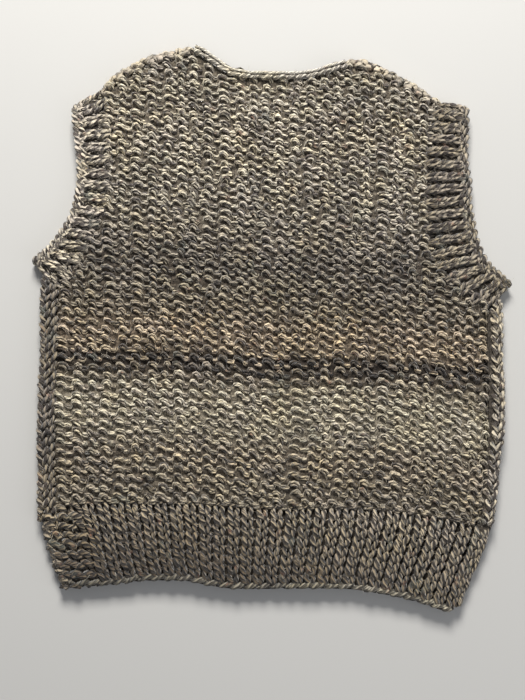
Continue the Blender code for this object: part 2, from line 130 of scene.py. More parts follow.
# Armbands from shoulder fold to underarm fold: outer x, outer y, inner x, inner y.
LEFT_BAND = (
    (-217.5, 232.5, -186.0, 250.0),
    (-216.2, 214.0, -182.0, 220.0),
    (-213.6, 196.0, -180.6, 198.0),
    (-211.5, 178.0, -180.0, 178.0),
    (-210.5, 160.0, -180.0, 158.0),
    (-213.0, 142.0, -182.0, 138.0),
    (-216.5, 124.0, -187.5, 119.0),
    (-226.0, 105.0, -196.0, 99.0),
    (-240.0, 87.0, -206.0, 79.0),
    (-247.5, 79.5, -216.0, 62.0),
    (-256.0, 72.0, -227.0, 45.5),
)
RIGHT_BAND = (
    (215.5, 232.0, 183.0, 236.5),
    (215.8, 215.0, 178.0, 219.0),
    (214.4, 196.0, 176.0, 199.0),
    (214.8, 176.0, 174.0, 177.0),
    (217.8, 157.0, 173.0, 156.0),
    (218.0, 138.0, 172.3, 135.0),
    (219.5, 119.0, 173.3, 114.0),
    (223.0, 101.0, 175.5, 93.0),
    (228.5, 82.0, 180.0, 73.0),
    (237.0, 65.5, 189.0, 53.5),
    (246.0, 57.0, 206.0, 36.0),
    (256.0, 47.5, 227.0, 19.5),
)
# Side seams below the underarm fold: outer x, outer y, inner x, inner y.
LEFT_SEAM = (
    (-249.0, 36.0, -232.3, 27.0),
    (-250.3, 22.0, -232.6, 16.0),
    (-249.2, 4.0, -232.5, 2.0),
    (-248.8, -40.0, -232.0, -40.0),
    (-250.3, -82.0, -233.0, -82.0),
    (-250.8, -125.0, -233.5, -125.0),
    (-249.2, -168.0, -232.5, -168.0),
    (-248.6, -198.0, -231.5, -198.0),
    (-242.5, -217.0, -226.5, -215.0),
    (-235.5, -241.0, -219.5, -238.0),
    (-228.5, -263.0, -212.5, -259.0),
    (-220.5, -281.5, -204.5, -280.5),
)
RIGHT_SEAM = (
    (250.3, 3.0, 230.8, 0.0),
    (250.3, -18.0, 230.5, -18.0),
    (249.6, -40.0, 229.8, -40.0),
    (251.2, -62.0, 231.0, -62.0),
    (250.6, -100.0, 230.5, -100.0),
    (249.0, -125.0, 229.2, -125.0),
    (245.0, -147.0, 226.0, -147.0),
    (243.2, -170.0, 224.5, -170.0),
    (240.5, -190.0, 222.0, -191.0),
    (235.8, -213.0, 218.0, -215.0),
    (230.5, -230.0, 212.5, -233.0),
    (221.5, -252.0, 203.5, -257.0),
    (213.5, -268.0, 196.0, -274.0),
    (206.5, -284.0, 189.5, -291.0),
    (200.5, -299.0, 186.5, -306.0),
)
# Shoulders, left to right, and neck edges: open side x, y, cloth side x, y.
LEFT_SHOULDER = (
    (-185.3, 259.0, -185.0, 249.0),
    (-179.0, 269.0, -172.0, 261.5),
    (-164.0, 280.0, -158.5, 272.5),
    (-144.0, 291.3, -140.0, 282.8),
    (-123.0, 299.0, -121.0, 290.0),
    (-103.5, 303.0, -102.5, 294.5),
    (-83.0, 307.1, -85.0, 299.0),
)
RIGHT_SHOULDER = (
    (81.2, 290.2, 84.2, 283.6),
    (98.0, 291.8, 98.0, 283.0),
    (117.5, 286.0, 114.5, 277.8),
    (132.0, 278.0, 128.5, 270.0),
    (149.5, 269.0, 145.0, 261.3),
    (167.0, 257.8, 161.5, 250.5),
    (182.2, 245.8, 181.9, 236.0),
)
NECK_BACK = (
    (-82.3, 306.8, -84.4, 299.0),
    (-73.0, 302.3, -77.0, 296.5),
    (-58.5, 291.6, -62.0, 286.0),
    (-43.5, 282.8, -46.0, 276.8),
    (-26.0, 280.0, -27.0, 273.8),
    (-8.0, 279.0, -8.5, 273.0),
    (17.0, 279.0, 17.0, 273.0),
    (43.0, 279.5, 43.5, 273.3),
    (64.5, 284.5, 67.0, 278.5),
    (80.5, 290.0, 83.5, 283.5),
)
NECK_FRONT = (
    (-82.3, 306.8, -84.4, 299.0),
    (-76.5, 296.0, -82.5, 291.0),
    (-73.5, 281.0, -79.5, 280.0),
    (-70.0, 262.0, -76.0, 260.0),
    (-59.0, 240.0, -64.0, 236.0),
    (-41.0, 223.0, -44.5, 217.8),
    (-18.0, 214.0, -19.5, 208.0),
    (8.0, 212.5, 8.5, 206.5),
    (32.0, 218.0, 34.5, 212.3),
    (52.0, 232.0, 56.5, 227.5),
    (65.0, 252.0, 71.0, 249.5),
    (70.5, 270.0, 76.5, 269.0),
    (75.0, 282.5, 80.5, 279.0),
    (80.5, 290.0, 83.5, 283.5),
)
# Hem: the line where it joins the panels, and its lower edge: x, y.
HEM_JOIN = (
    (-232.0, -198.0),
    (-199.0, -195.6),
    (-140.0, -195.6),
    (-76.0, -196.8),
    (-10.0, -200.8),
    (62.0, -201.0),
    (110.0, -202.5),
    (142.0, -206.0),
    (185.0, -212.0),
    (219.0, -221.0),
)
HEM_EDGE = (
    (-204.0, -280.5),
    (-187.0, -279.0),
    (-166.0, -277.8),
    (-134.0, -273.8),
    (-92.0, -273.8),
    (-71.0, -277.6),
    (-39.0, -282.0),
    (20.0, -282.0),
    (78.0, -282.2),
    (110.0, -286.2),
    (142.0, -292.5),
    (163.0, -298.8),
    (186.0, -306.0),
)
# Soft folds in the upper face: x and y of two ends, half width, height.
FOLDS = (
    (-236.0, -44.0, -20.0, -50.0, 9.0, 1.2),
    (-20.0, -50.0, 232.0, -68.0, 9.0, 1.0),
    (-46.0, -62.0, -38.0, -190.0, 8.0, -0.8),
    (150.0, 60.0, 205.0, 20.0, 14.0, 0.9),
    (-160.0, 90.0, -212.0, 42.0, 13.0, 0.8),
    (-150.0, -100.0, -215.0, -190.0, 16.0, 0.7),
)
# Neck opening of the front layer, in which the back layer sinks: centre x, y and half sizes.
OPENING = (-1.0, 283.0, 72.0, 68.0)
OPENING_RIM = 0.2
SINK = CLOTH


# --- Lines of the cut ---


def smoothstep(value):
    t = np.clip(value, 0.0, 1.0)
    return t * t * (3 - 2 * t)


def between(wanted, places, table):
    """Rows of a table at wanted places, in proportion between its own rows' places."""
    return np.column_stack([np.interp(wanted, places, column) for column in table.T])


def unit(rows):
    """Each row of a table as a direction of length 1."""
    return rows / np.linalg.norm(rows, axis=1)[:, None]


def length_along(points):
    """Length of a line of points up to each of them."""
    steps = np.linalg.norm(np.diff(points, axis=0), axis=1)
    return np.concatenate([[0], np.cumsum(steps)])


def middle_line(rows):
    """Middle of each row of a strip's table, which holds the x and y of both its edges."""
    return rows.reshape(len(rows), -1, 2).mean(axis=1)


def inward_by(share, rows):
    """Plan of a line along a strip: share is 0 at its first edge and 1 at its second."""
    return rows[:, :2] + share * (rows[:, 2:] - rows[:, :2])


def even_rows(rows, count):
    """count + 1 rows on the smooth curve through a table, evenly spaced along its middle."""
    table = np.array(rows, float)
    padded = np.vstack([2 * table[0] - table[1], table, 2 * table[-1] - table[-2]])
    places = np.linspace(0, len(table) - 1, 400)
    start = np.minimum(places.astype(int), len(table) - 2)
    t = (places - start)[:, None]
    a, b, c, d = (padded[start + k] for k in range(4))
    fine = b + 0.5 * t * (c - a) + t * t * (a - 2.5 * b + 2 * c - 0.5 * d)
    fine += t**3 * (1.5 * (b - c) + 0.5 * (d - a))
    length = np.concatenate([[0], np.cumsum(np.hypot(*np.diff(middle_line(fine), axis=0).T))])
    return between(np.linspace(0, length[-1], count + 1), length, fine)


def strip_length(rows):
    return np.hypot(*np.diff(middle_line(np.array(rows, float)), axis=0).T).sum()


def across_the_fold(band):
    """Direction square to a band's underarm fold line, away from the band."""
    last, before = np.array(band[-1]), np.array(band[-2])
    line = last[2:] - last[:2]
    square = np.array([-line[1], line[0]]) / np.hypot(*line)
    towards = (last - before).reshape(2, 2).mean(axis=0)
    return square if square @ towards > 0 else -square


def seam_rows(band, seam):
    """A side seam's rows, with the first one just below its band's underarm fold."""
    last = np.array(band[-1])
    out = across_the_fold(band) * (FOLD_PLANE + SEAM_GAP)
    outer, inner = last[:2], last[2:]
    return [(*(outer + 0.46 * (inner - outer) + out), *(inner + out)), *seam]


def side_line(band, seam):
    """The edge of both panels at one side, from the hem up: along the seam, then the band."""
    seam_inner = even_rows(seam_rows(band, seam), 80)[::-1, 2:]
    corner = np.array(band[-1])[2:] + across_the_fold(band) * (FOLD_PLANE - GAP)
    band_inner = even_rows(band, 60)[::-1, 2:]
    return np.vstack([seam_inner, corner, band_inner])


LEFT_LINE = side_line(LEFT_BAND, LEFT_SEAM)
RIGHT_LINE = side_line(RIGHT_BAND, RIGHT_SEAM)
JOIN_LINE = even_rows(HEM_JOIN, 200)
EDGE_LINE = even_rows(HEM_EDGE, 200)


def x_at(line, y):
    return np.interp(y, line[:, 1], line[:, 0])


def y_at(line, x):
    return np.interp(x, line[:, 0], line[:, 1])


def top_outline(neck):
    """A panel's top edge, left to right: open side of the shoulders and the neck."""
    rows = [*LEFT_SHOULDER, *neck[1:], *RIGHT_SHOULDER[1:]]
    return np.array(rows)[:, :2]


def distance_to(line, x, y):
    """Plan distance from points to a line of points."""
    nearest = np.full(np.shape(x), np.inf)
    for (x0, y0), (x1, y1) in zip(line, line[1:]):
        run = np.array([x1 - x0, y1 - y0])
        t = np.clip(((x - x0) * run[0] + (y - y0) * run[1]) / (run @ run), 0, 1)
        nearest = np.minimum(nearest, np.hypot(x - x0 - t * run[0], y - y0 - t * run[1]))
    return nearest


# --- Height of the upper face ---


def turned_down(distance):
    """How far a folded edge has turned down at a distance in from it."""
    inside = np.clip(distance, 0.0, FOLD_PLANE)
    return FOLD_PLANE - np.sqrt(FOLD_PLANE**2 - (FOLD_PLANE - inside) ** 2)


def sunk(x, y):
    """How far the back layer sinks inside the front layer's neck opening."""
    middle_x, middle_y, half_x, half_y = OPENING
    across = (x - middle_x) / half_x
    down = np.minimum(y - middle_y, 0.0) / half_y
    inside = 1.0 - across**2 - down**2
    return SINK * smoothstep((inside - OPENING_RIM) / (0.95 - OPENING_RIM))


def fold_height(x, y):
    height = np.zeros(np.shape(x))
    for x0, y0, x1, y1, half_width, rise in FOLDS:
        line = np.array([[x0, y0], [x1, y1]])
        height = height + rise * smoothstep(1.0 - distance_to(line, x, y) / (2 * half_width))
    return height


def back_face(x, y):
    """Level of the back layer's crowns: soft folds, the sunk neck and the shoulder folds."""
    level = TOP + PROUD - sunk(x, y) + fold_height(x, y)
    for shoulder in (LEFT_SHOULDER, RIGHT_SHOULDER):
        level = level - turned_down(distance_to(np.array(shoulder)[:, :2], x, y))
    return level


def front_face(x, y):
    """Level of the front layer's crowns, as it lies when it is turned upwards: flat."""
    return np.full(np.shape(x), TOP)


# --- Yarn ---


worked = []  # every skein, for the fibres that stray from them


def strand_frame(line, up):
    """Directions beside and above a line at its points, and its length up to each."""
    up = np.broadcast_to(np.asarray(up, float), line.shape)
    along = unit(np.gradient(line, axis=0))
    side = unit(np.cross(along, up))
    return side, np.cross(side, along), length_along(line)


def new_object(name, data):
    """An object in the scene, at the origin."""
    made = bpy.data.objects.new(name, data)
    bpy.context.scene.collection.objects.link(made)
    return made


def put_on(made, material):
    """Gives a piece its material, and lets it ride on the vest."""
    made.data.materials.append(material)
    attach(made, "root")
    return made


class Skein:
    """Strands of plied yarn, gathered for one mesh."""

    def __init__(self):
        self.points, self.corners, self.sizes, self.roots = [], [], [], []
        self.yarn_map, self.dye_map, self.deep = [], [], []
        self.count = 0
        worked.append(self)

    def lay_three(self, line, up, radius, course, deep):
        """Lays three strands that are held together and turn slowly round each other."""
        side, crown, length = strand_frame(line, up)
        turn = chance.uniform(0, math.tau) + HELD_TWIST * length + (uneven(len(line), 1.2, 25) - 1)
        for number, shade in enumerate(HELD_SHADES):
            angle = turn + math.tau / 3 * number
            across = (HELD_ACROSS * radius * np.cos(angle))[:, None] * side
            above = (HELD_ABOVE * radius * np.sin(angle))[:, None] * crown
            dye = shade + chance.uniform(-0.15, 0.15)
            place = line + across + above
            self.lay(place, up, HELD_RADIUS * radius, course, deep, dye, HELD_SECTION)

    def lay(self, line, up, radius, course=0.0, deep=0.0, dye=None, section=PLY_SECTION):
        """Lays a strand along a line of points.

        up points out of the cloth, and deep is 1 where the strand runs down inside it; there its
        colour is darkened as painted shade. course is its place in the wool's ramps of dyes, and
        dye the shade of its own among them.
        """
        line = np.asarray(line, float)
        total = len(line)
        side, crown, length = strand_frame(line, up)
        share, degrees = np.array(section).T
        turn = chance.uniform(0, math.tau)
        angle = np.radians(degrees)[None, :] + (turn + PLY_TWIST * length)[:, None]
        reach = np.broadcast_to(radius, (total,))[:, None] * share[None, :]
        ring = line[:, None, :] + (reach * np.cos(angle))[..., None] * side[:, None, :]
        ring = ring + (reach * np.sin(angle))[..., None] * crown[:, None, :]
        sides = len(share)
        self.points.append(ring.reshape(-1, 3))
        self.roots.append(np.hstack([line, ring[:, 1]]))
        self.deep.append(np.repeat(np.broadcast_to(deep, (total,)), sides))

        i, j = np.meshgrid(np.arange(total - 1), np.arange(sides), indexing="ij")
        after = (j + 1) % sides
        quads = np.stack([i * sides + j, i * sides + after], axis=-1)
        quads = np.concatenate([quads, quads[..., ::-1] + sides], axis=-1).reshape(-1, 4)
        caps = [np.arange(sides)[::-1], np.arange(sides) + (total - 1) * sides]
        self.corners.append(np.concatenate([quads.ravel(), *caps]) + self.count)
        self.sizes.append([4] * len(quads) + [sides] * 2)
        self.count += total * sides

        start = chance.uniform(0, 0.5 * MAP_LENGTH)
        u = (start + length) / MAP_LENGTH
        u0, u1 = u[i], u[i + 1]
        v0, v1 = j / sides, (j + 1) / sides
        yarn = np.stack([u0, v0, u0, v1, u1, v1, u1, v0], axis=-1).reshape(-1, 2)
        cap_v = np.arange(sides) / sides
        ends = [np.column_stack([np.full(sides, u[k]), cap_v]) for k in (0, -1)]
        self.yarn_map.append(np.vstack([yarn, *ends]))
        course = np.broadcast_to(np.asarray(course, float), (total,))
        c0, c1 = course[i], course[i + 1]
        strand = np.full(c0.shape, chance.uniform() if dye is None else dye)
        dyes = np.stack([c0, strand, c0, strand, c1, strand, c1, strand], axis=-1).reshape(-1, 2)
        ends = [np.full((sides, 2), (course[k], strand[0, 0])) for k in (0, -1)]
        self.dye_map.append(np.vstack([dyes, *ends]))

    def piece(self, name, material, slot):
        """The skein as one object that rides on the vest, flat where it rests."""
        points = np.vstack(self.points)
        points[:, 2] = np.maximum(points[:, 2], 0.0)
        points = (points - TABLE_MIDDLE) * MILLIMETRE
        corners = np.concatenate(self.corners)
        sizes = np.concatenate(self.sizes)
        mesh = bpy.data.meshes.new(name)
        mesh.vertices.add(len(points))
        mesh.vertices.foreach_set("co", points.astype(np.float32).ravel())
        mesh.loops.add(len(corners))
        mesh.loops.foreach_set("vertex_index", corners.astype(np.int32))
        mesh.polygons.add(len(sizes))
        starts = np.concatenate([[0], np.cumsum(sizes)[:-1]])
        mesh.polygons.foreach_set("loop_start", starts.astype(np.int32))
        for map_name, values in (("yarn", self.yarn_map), ("dye", self.dye_map)):
            layer = mesh.uv_layers.new(name=map_name)
            layer.data.foreach_set("uv", np.vstack(values).astype(np.float32).ravel())
        inside = mesh.attributes.new("deep", "FLOAT", "POINT")
        inside.data.foreach_set("value", np.concatenate(self.deep).astype(np.float32))
        mesh.polygons.foreach_set("use_smooth", np.ones(len(sizes), bool))
        mesh.update()
        mesh.validate()
        return put_on(new_object(name, mesh), material)


def whole_loop(half):
    """A loop from the sinker on its left to just before the one on its right."""
    right = np.array(half)
    left = right[::-1] * (-1, 1, 1)
    return np.vstack([left, right[1:-1]])


PURL = np.array(PURL_LOOP)
KNIT = whole_loop(KNIT_LOOP)
RIB = whole_loop(RIB_LOOP)


def worked_row(loop, first, last, unevenness=1.0):
    """Stitches first to last of a row: stitches across, rows up, depth; each a little uneven."""
    count = last - first
    spread = chance.normal(0, UNEVEN_SPREAD * unevenness, (count, 1))
    tall = 1 + chance.normal(0, UNEVEN_HEIGHT * unevenness, (count, 1))
    lift = np.clip(chance.normal(0, UNEVEN_LIFT * unevenness, (count, 1)), -0.7, 0.4)
    lean = chance.normal(0, UNEVEN_LEAN * unevenness, (count, 1))
    x, y, depth = (loop[None, :, k] for k in range(3))
    fade = np.clip(0.5 - np.abs(x), 0, 0.5) * 2
    across = np.arange(first, last)[:, None] + 0.5 + x + fade * spread + lean * y
    up = y * np.where(y > 0, tall, 1)
    out = depth + lift * fade
    return across.ravel(), up.ravel(), out.ravel()


def uneven(count, share, smooth=9):
    """Slow change along a strand, about 1: share of it, and points over which it is smoothed."""
    rough = chance.normal(0, 1, count + 2 * smooth)
    kernel = np.hanning(smooth)
    soft = np.convolve(rough, kernel / np.sqrt((kernel**2).sum()), mode="same")
    return 1 + share * np.clip(soft[smooth:-smooth], -2, 2)


# --- Materials ---


def linear(red, green, blue):
    """A colour as seen on a screen, 0 to 255, in linear light."""
    values = np.array([red, green, blue]) / 255
    return (*np.where(values <= 0.04045, values / 12.92, ((values + 0.055) / 1.055) ** 2.4), 1.0)


def dyes(*rows):
    """A ramp's stops from rows of place, red, green and blue, as seen on a screen."""
    return [(place, linear(*colour)) for place, *colour in rows]


BLACK, WHITE = (0, 0, 0, 1), (1, 1, 1, 1)


class Nodes:
    """Short calls for a material's nodes."""

    def __init__(self, name):
        self.material = bpy.data.materials.new(name)
        self.material.use_nodes = True
        self.tree = self.material.node_tree
        self.shader = self.tree.nodes["Principled BSDF"]

    def add(self, kind, inputs=(), **settings):
        node = self.tree.nodes.new(kind)
        for key, value in settings.items():
            setattr(node, key, value)
        for key, value in dict(inputs).items():
            self.feed(node.inputs[key], value)
        return node

    def feed(self, socket, value):
        if isinstance(value, bpy.types.NodeSocket):
            self.tree.links.new(value, socket)
        else:
            socket.default_value = value

    def math(self, operation, *values):
        node = self.add("ShaderNodeMath", operation=operation)
        for socket, value in zip(node.inputs, values):
            self.feed(socket, value)
        return node.outputs[0]

    def times(self, one, other):
        return self.math("MULTIPLY", one, other)

    def plus(self, one, other):
        return self.math("ADD", one, other)

    def rescaled(self, value, source, wanted=(0.0, 1.0), **settings):
        """A value that runs through the source range, moved into the wanted range."""
        inputs = {"Value": value, "From Min": source[0], "From Max": source[1]}
        inputs.update({"To Min": wanted[0], "To Max": wanted[1]})
        return self.add("ShaderNodeMapRange", inputs, **settings).outputs[0]

    def blend(self, amount, one, other, mode="MIX"):
        node = self.add("ShaderNodeMix", data_type="RGBA", blend_type=mode)
        for key, value in zip((0, 6, 7), (amount, one, other)):
            self.feed(node.inputs[key], value)
        return node.outputs[2]

    def ramp(self, value, stops):
        node = self.add("ShaderNodeValToRGB", {"Fac": value})
        ends = node.color_ramp.elements
        while len(ends) > 1:
            ends.remove(ends[-1])
        ends[0].position, ends[0].color = stops[0]
        for place, colour in stops[1:]:
            ends.new(place).color = colour
        return node.outputs[0]

    def noise(self, vector, scale, detail=2.0, roughness=0.5):
        inputs = {"Vector": vector, "Scale": scale, "Detail": detail, "Roughness": roughness}
        return self.add("ShaderNodeTexNoise", inputs).outputs["Fac"]

    def stretched(self, vector, *factors):
        inputs = {"Vector": vector, "Scale": factors}
        return self.add("ShaderNodeMapping", inputs).outputs["Vector"]

    def parts(self, vector):
        return self.add("ShaderNodeSeparateXYZ", {"Vector": vector}).outputs

    def joined(self, x, y, z):
        return self.add("ShaderNodeCombineXYZ", {0: x, 1: y, 2: z}).outputs[0]

    def place(self):
        return self.add("ShaderNodeTexCoord").outputs["Object"]

    def finish(self, colour, relief=None, depth=0.0, strength=0.0, **constants):
        """Feeds the shader its colour and relief, and its constants by their sockets' names."""
        self.feed(self.shader.inputs["Base Color"], colour)
        if relief is not None:
            inputs = {"Height": relief, "Strength": strength, "Distance": depth}
            bump = self.add("ShaderNodeBump", inputs)
            self.feed(self.shader.inputs["Normal"], bump.outputs[0])
        for name, value in constants.items():
            self.shader.inputs[name.replace("_", " ").title()].default_value = value
        return self.material


PAINTED_DEEP_SHADE = 0.74  # painted shade: how much darker a strand is coloured where it runs down inside the cloth


def winding(nodes, yarn, turn, plies):
    """Which ply shows at a place of the yarn map, and how near the place is to its crest."""
    length, round_it = nodes.parts(yarn)[:2]
    wobble = nodes.noise(nodes.stretched(yarn, 9.0, 0.3, 1.0), 1.0, 1.0)
    turns = nodes.math("SUBTRACT", round_it, nodes.times(length, MAP_LENGTH / turn))
    turns = nodes.plus(turns, nodes.times(wobble, 0.5))
    wound = nodes.times(turns, plies)
    ply = nodes.math("FLOORED_MODULO", nodes.math("FLOOR", wound), plies)
    crest = nodes.math("SINE", nodes.times(nodes.math("FRACT", wound), math.pi))
    return ply, crest


def skin_place(nodes, yarn):
    """A place on the strand's skin, for the fibres' own streaks and hairs."""
    length, round_it = nodes.parts(yarn)[:2]
    angle = nodes.times(round_it, math.tau)
    level = nodes.times(nodes.math("COSINE", angle), 1.5)
    beside = nodes.times(nodes.math("SINE", angle), 1.5)
    return nodes.joined(nodes.times(length, 8.0), level, beside)


def pale_share(nodes, yarn, ply, strand, skin, ply_contrast, strand_contrast, paler):
    """How far the pale dye shows: strands and plies differ, each with its own streaks."""
    length = nodes.parts(yarn)[0]
    own = nodes.joined(nodes.times(length, 15.0), nodes.times(ply, 7.7), nodes.times(strand, 40.0))
    streaks = nodes.noise(own, 1.0, 2.0, 0.6)
    fibres = nodes.noise(skin, 1.0, 2.0, 0.55)
    slow = nodes.noise(nodes.stretched(skin, 0.35, 0.35, 0.35), 1.0, 1.0)
    shown = nodes.plus(nodes.times(streaks, 0.75), nodes.times(fibres, 0.5))
    shown = nodes.plus(shown, nodes.times(slow, 0.25))
    by_turns = nodes.math("SUBTRACT", nodes.math("FLOORED_MODULO", ply, 2.0), 0.5)
    shown = nodes.plus(shown, nodes.times(by_turns, ply_contrast))
    own_dye = nodes.math("SUBTRACT", strand, 0.5)
    shown = nodes.plus(shown, nodes.times(own_dye, strand_contrast))
    return nodes.rescaled(shown, (0.67 - paler, 0.80 - paler), interpolation_type="SMOOTHSTEP")


def flecked(nodes, colour, place):
    """Flecks of other fibre, warm and cool."""
    fleck = nodes.noise(place, 70.0, 2.0, 0.6)
    warm = nodes.ramp(fleck, [(0.64, BLACK), (0.74, WHITE)])
    colour = nodes.blend(nodes.times(warm, 0.45), colour, linear(168, 122, 96))
    cool = nodes.ramp(nodes.noise(place, 44.0, 2.0), [(0.62, BLACK), (0.72, WHITE)])
    return nodes.blend(nodes.times(cool, 0.4), colour, linear(112, 120, 108))


def shading(nodes, yarn, strand, skin, crest, groove_shade):
    """Light and dark of the wool: slow depth, hairs, each strand's own, grooves, the inside."""
    depth = nodes.noise(nodes.stretched(yarn, 2.0, 0.2, 1.0), 1.0, 2.0)
    fine = nodes.noise(nodes.stretched(skin, 5.0, 3.0, 3.0), 1.0, 3.0, 0.65)
    level = nodes.times(
        nodes.rescaled(depth, (0.3, 0.7), (0.72, 1.24)),
        nodes.rescaled(strand, (0.0, 1.0), (0.94, 1.06)),
    )
    level = nodes.times(level, nodes.rescaled(fine, (0.0, 1.0), (0.4, 1.6)))
    # Painted shade: darker in the grooves between the plies and a little lighter on their crests,
    # and darker where the strand runs down inside the cloth.
    level = nodes.times(level, nodes.rescaled(crest, (0.0, 0.8), (groove_shade, 1.1)))
    deep = nodes.add("ShaderNodeAttribute", attribute_name="deep").outputs["Fac"]
    level = nodes.times(level, nodes.rescaled(deep, (0.0, 1.0), (1.0, PAINTED_DEEP_SHADE)))
    shade = nodes.add("ShaderNodeCombineColor")
    for socket in shade.inputs:
        nodes.feed(socket, level)
    return shade.outputs[0]


def marled(
    name,
    pale_stops,
    dark_stops,
    turn=32.0,
    groove_shade=0.35,
    plies=6.0,
    ply_contrast=0.24,
    strand_contrast=0.0,
    paler=0.0,
):
    """Plied wool in streaks of a pale and a dark dye, which change with the course.

    Its plies take a turn in so many millimetres. groove_shade is the shade between them,
    ply_contrast is how far they are pale and dark by turns, strand_contrast how far the
    strands that are held together are, and paler widens the pale streaks.
    """
    nodes = Nodes(name)
    yarn = nodes.add("ShaderNodeUVMap", uv_map="yarn").outputs[0]
    dye = nodes.add("ShaderNodeUVMap", uv_map="dye").outputs[0]
    place = nodes.place()
    course, strand = nodes.parts(dye)[:2]
    ply, crest = winding(nodes, yarn, turn, plies)
    skin = skin_place(nodes, yarn)
    share = pale_share(nodes, yarn, ply, strand, skin, ply_contrast, strand_contrast, paler)
    colour = nodes.blend(share, nodes.ramp(course, dark_stops), nodes.ramp(course, pale_stops))
    colour = flecked(nodes, colour, place)
    shade = shading(nodes, yarn, strand, skin, crest, groove_shade)
    colour = nodes.blend(1.0, colour, shade, "MULTIPLY")
    hues = [(0.36, (0.95, 0.94, 1.0, 1)), (0.5, WHITE), (0.64, (1.03, 1.0, 0.92, 1))]
    hue = nodes.ramp(nodes.noise(place, 36.0, 2.0, 0.6), hues)
    colour = nodes.blend(1.0, colour, hue, "MULTIPLY")

    # Fibres that lie along the plies.
    hair = nodes.noise(nodes.stretched(skin, 1.6, 3.5, 3.5), 1.0, 3.0, 0.6)
    relief = nodes.plus(nodes.math("POWER", crest, 0.6), nodes.times(hair, 0.8))
    wool = {"roughness": 0.8, "sheen_weight": 0.3, "sheen_roughness": 0.5}
    return nodes.finish(colour, relief, depth=0.0013, strength=0.9, **wool)


# Dyes of the body by height above the hem, as a share of its length.
BODY_PALE = dyes(
    (0.00, 184, 171, 147),
    (0.05, 198, 184, 157),
    (0.11, 213, 196, 166),
    (0.16, 227, 215, 186),
    (0.24, 240, 230, 202),
    (0.265, 221, 207, 180),
    (0.278, 211, 197, 171),
    (0.291, 157, 144, 123),
    (0.304, 93, 83, 69),
    (0.320, 80, 69, 59),
    (0.333, 215, 195, 162),
    (0.38, 238, 216, 182),
    (0.415, 188, 172, 144),
    (0.475, 187, 175, 150),
    (0.528, 166, 155, 136),
    (0.575, 199, 187, 166),
    (0.63, 215, 204, 181),
    (0.74, 239, 228, 203),
    (0.84, 237, 225, 200),
    (0.90, 225, 215, 190),
    (1.00, 205, 194, 171),
)
BODY_DARK = dyes(
    (0.00, 85, 75, 65),
    (0.10, 94, 85, 74),
    (0.17, 138, 126, 109),
    (0.24, 147, 135, 118),
    (0.28, 107, 95, 80),
    (0.302, 49, 40, 33),
    (0.318, 42, 35, 29),
    (0.330, 107, 90, 75),
    (0.38, 108, 92, 77),
    (0.42, 84, 73, 61),
    (0.475, 81, 71, 63),
    (0.528, 72, 65, 59),
    (0.575, 85, 76, 70),
    (0.63, 92, 83, 76),
    (0.74, 104, 92, 83),
    (0.84, 105, 93, 82),
    (1.00, 95, 83, 72),
)
# The ground under the body's stitches: the body's dyes darkened, as painted shade of the gaps
# between the loops.
GROUND_DYE_IN_SHADE = dyes(
    (0.00, 113, 104, 90),
    (0.12, 128, 116, 101),
    (0.17, 164, 154, 135),
    (0.26, 157, 146, 127),
    (0.28, 122, 110, 95),
    (0.300, 67, 58, 49),
    (0.318, 61, 52, 45),
    (0.335, 131, 116, 98),
    (0.38, 134, 118, 100),
    (0.42, 107, 96, 81),
    (0.53, 99, 89, 79),
    (0.62, 126, 116, 102),
    (1.00, 134, 123, 107),
)
RIB_PALE = dyes(
    (0.00, 86, 73, 56),
    (0.30, 121, 106, 84),
    (0.50, 146, 131, 107),
    (0.75, 164, 149, 123),
    (1.00, 180, 166, 142),
)
RIB_DARK = dyes((0.0, 27, 21, 16), (1.0, 48, 40, 32))
BAND_PALE = dyes((0.0, 150, 138, 118), (0.5, 198, 186, 163), (1.0, 230, 219, 200))
BAND_DARK = dyes((0.0, 55, 46, 40), (0.5, 62, 53, 47), (1.0, 88, 78, 71))
EDGE_PALE = dyes(
    (0.00, 118, 111, 94),
    (0.50, 170, 162, 142),
    (0.75, 206, 196, 174),
    (1.00, 250, 243, 226),
)
EDGE_DARK = dyes(
    (0.00, 64, 59, 49),
    (0.50, 88, 82, 70),
    (0.75, 84, 75, 65),
    (1.00, 206, 198, 180),
)

body_wool = marled(
    "body_wool",
    BODY_PALE,
    BODY_DARK,
    turn=24.0,
    groove_shade=0.5,
    plies=3.0,
    ply_contrast=0.06,
    strand_contrast=0.3,
    paler=0.055,
)
rib_wool = marled("rib_wool", RIB_PALE, RIB_DARK, turn=24.0, groove_shade=0.4)
band_wool = marled(
    "band_wool", BAND_PALE, BAND_DARK, groove_shade=0.5, plies=4.0, ply_contrast=0.18
)
edge_wool = marled("edge_wool", EDGE_PALE, EDGE_DARK)


def fine_fibre(name, colour):
    """Loose hairs of the wool."""
    nodes = Nodes(name)
    tone = nodes.noise(nodes.place(), 160.0, 1.0)
    darker = tuple(0.45 * part for part in colour[:3]) + (1.0,)
    colour = nodes.ramp(tone, [(0.35, darker), (0.65, colour)])
    return nodes.finish(colour, roughness=0.6, sheen_weight=0.4)


fibre_wool = fine_fibre("fibre_wool", linear(212, 202, 182))


def shaded_cloth(name, stops):
    """The matted wool between the stitches, seen only down in the gaps.

    stops are its dyes by height above the hem, as a share of the body's length, darkened as painted
    shade of the gaps.
    """
    nodes = Nodes(name)
    place = nodes.place()
    x, y = nodes.parts(place)[:2]
    level = nodes.plus(y, nodes.times(x, ROW_TILT))
    rise = nodes.times(level, 1 / (BODY_RISE * MILLIMETRE))
    course = nodes.plus(rise, -JOIN_Y / BODY_RISE)
    matted = nodes.noise(place, 420.0, 4.0, 0.7)
    shade = nodes.ramp(matted, [(0.38, (0.15, 0.15, 0.15, 1)), (0.66, WHITE)])
    colour = nodes.blend(1.0, nodes.ramp(course, stops), shade, "MULTIPLY")
    return nodes.finish(colour, matted, depth=0.001, strength=0.8, roughness=1.0)


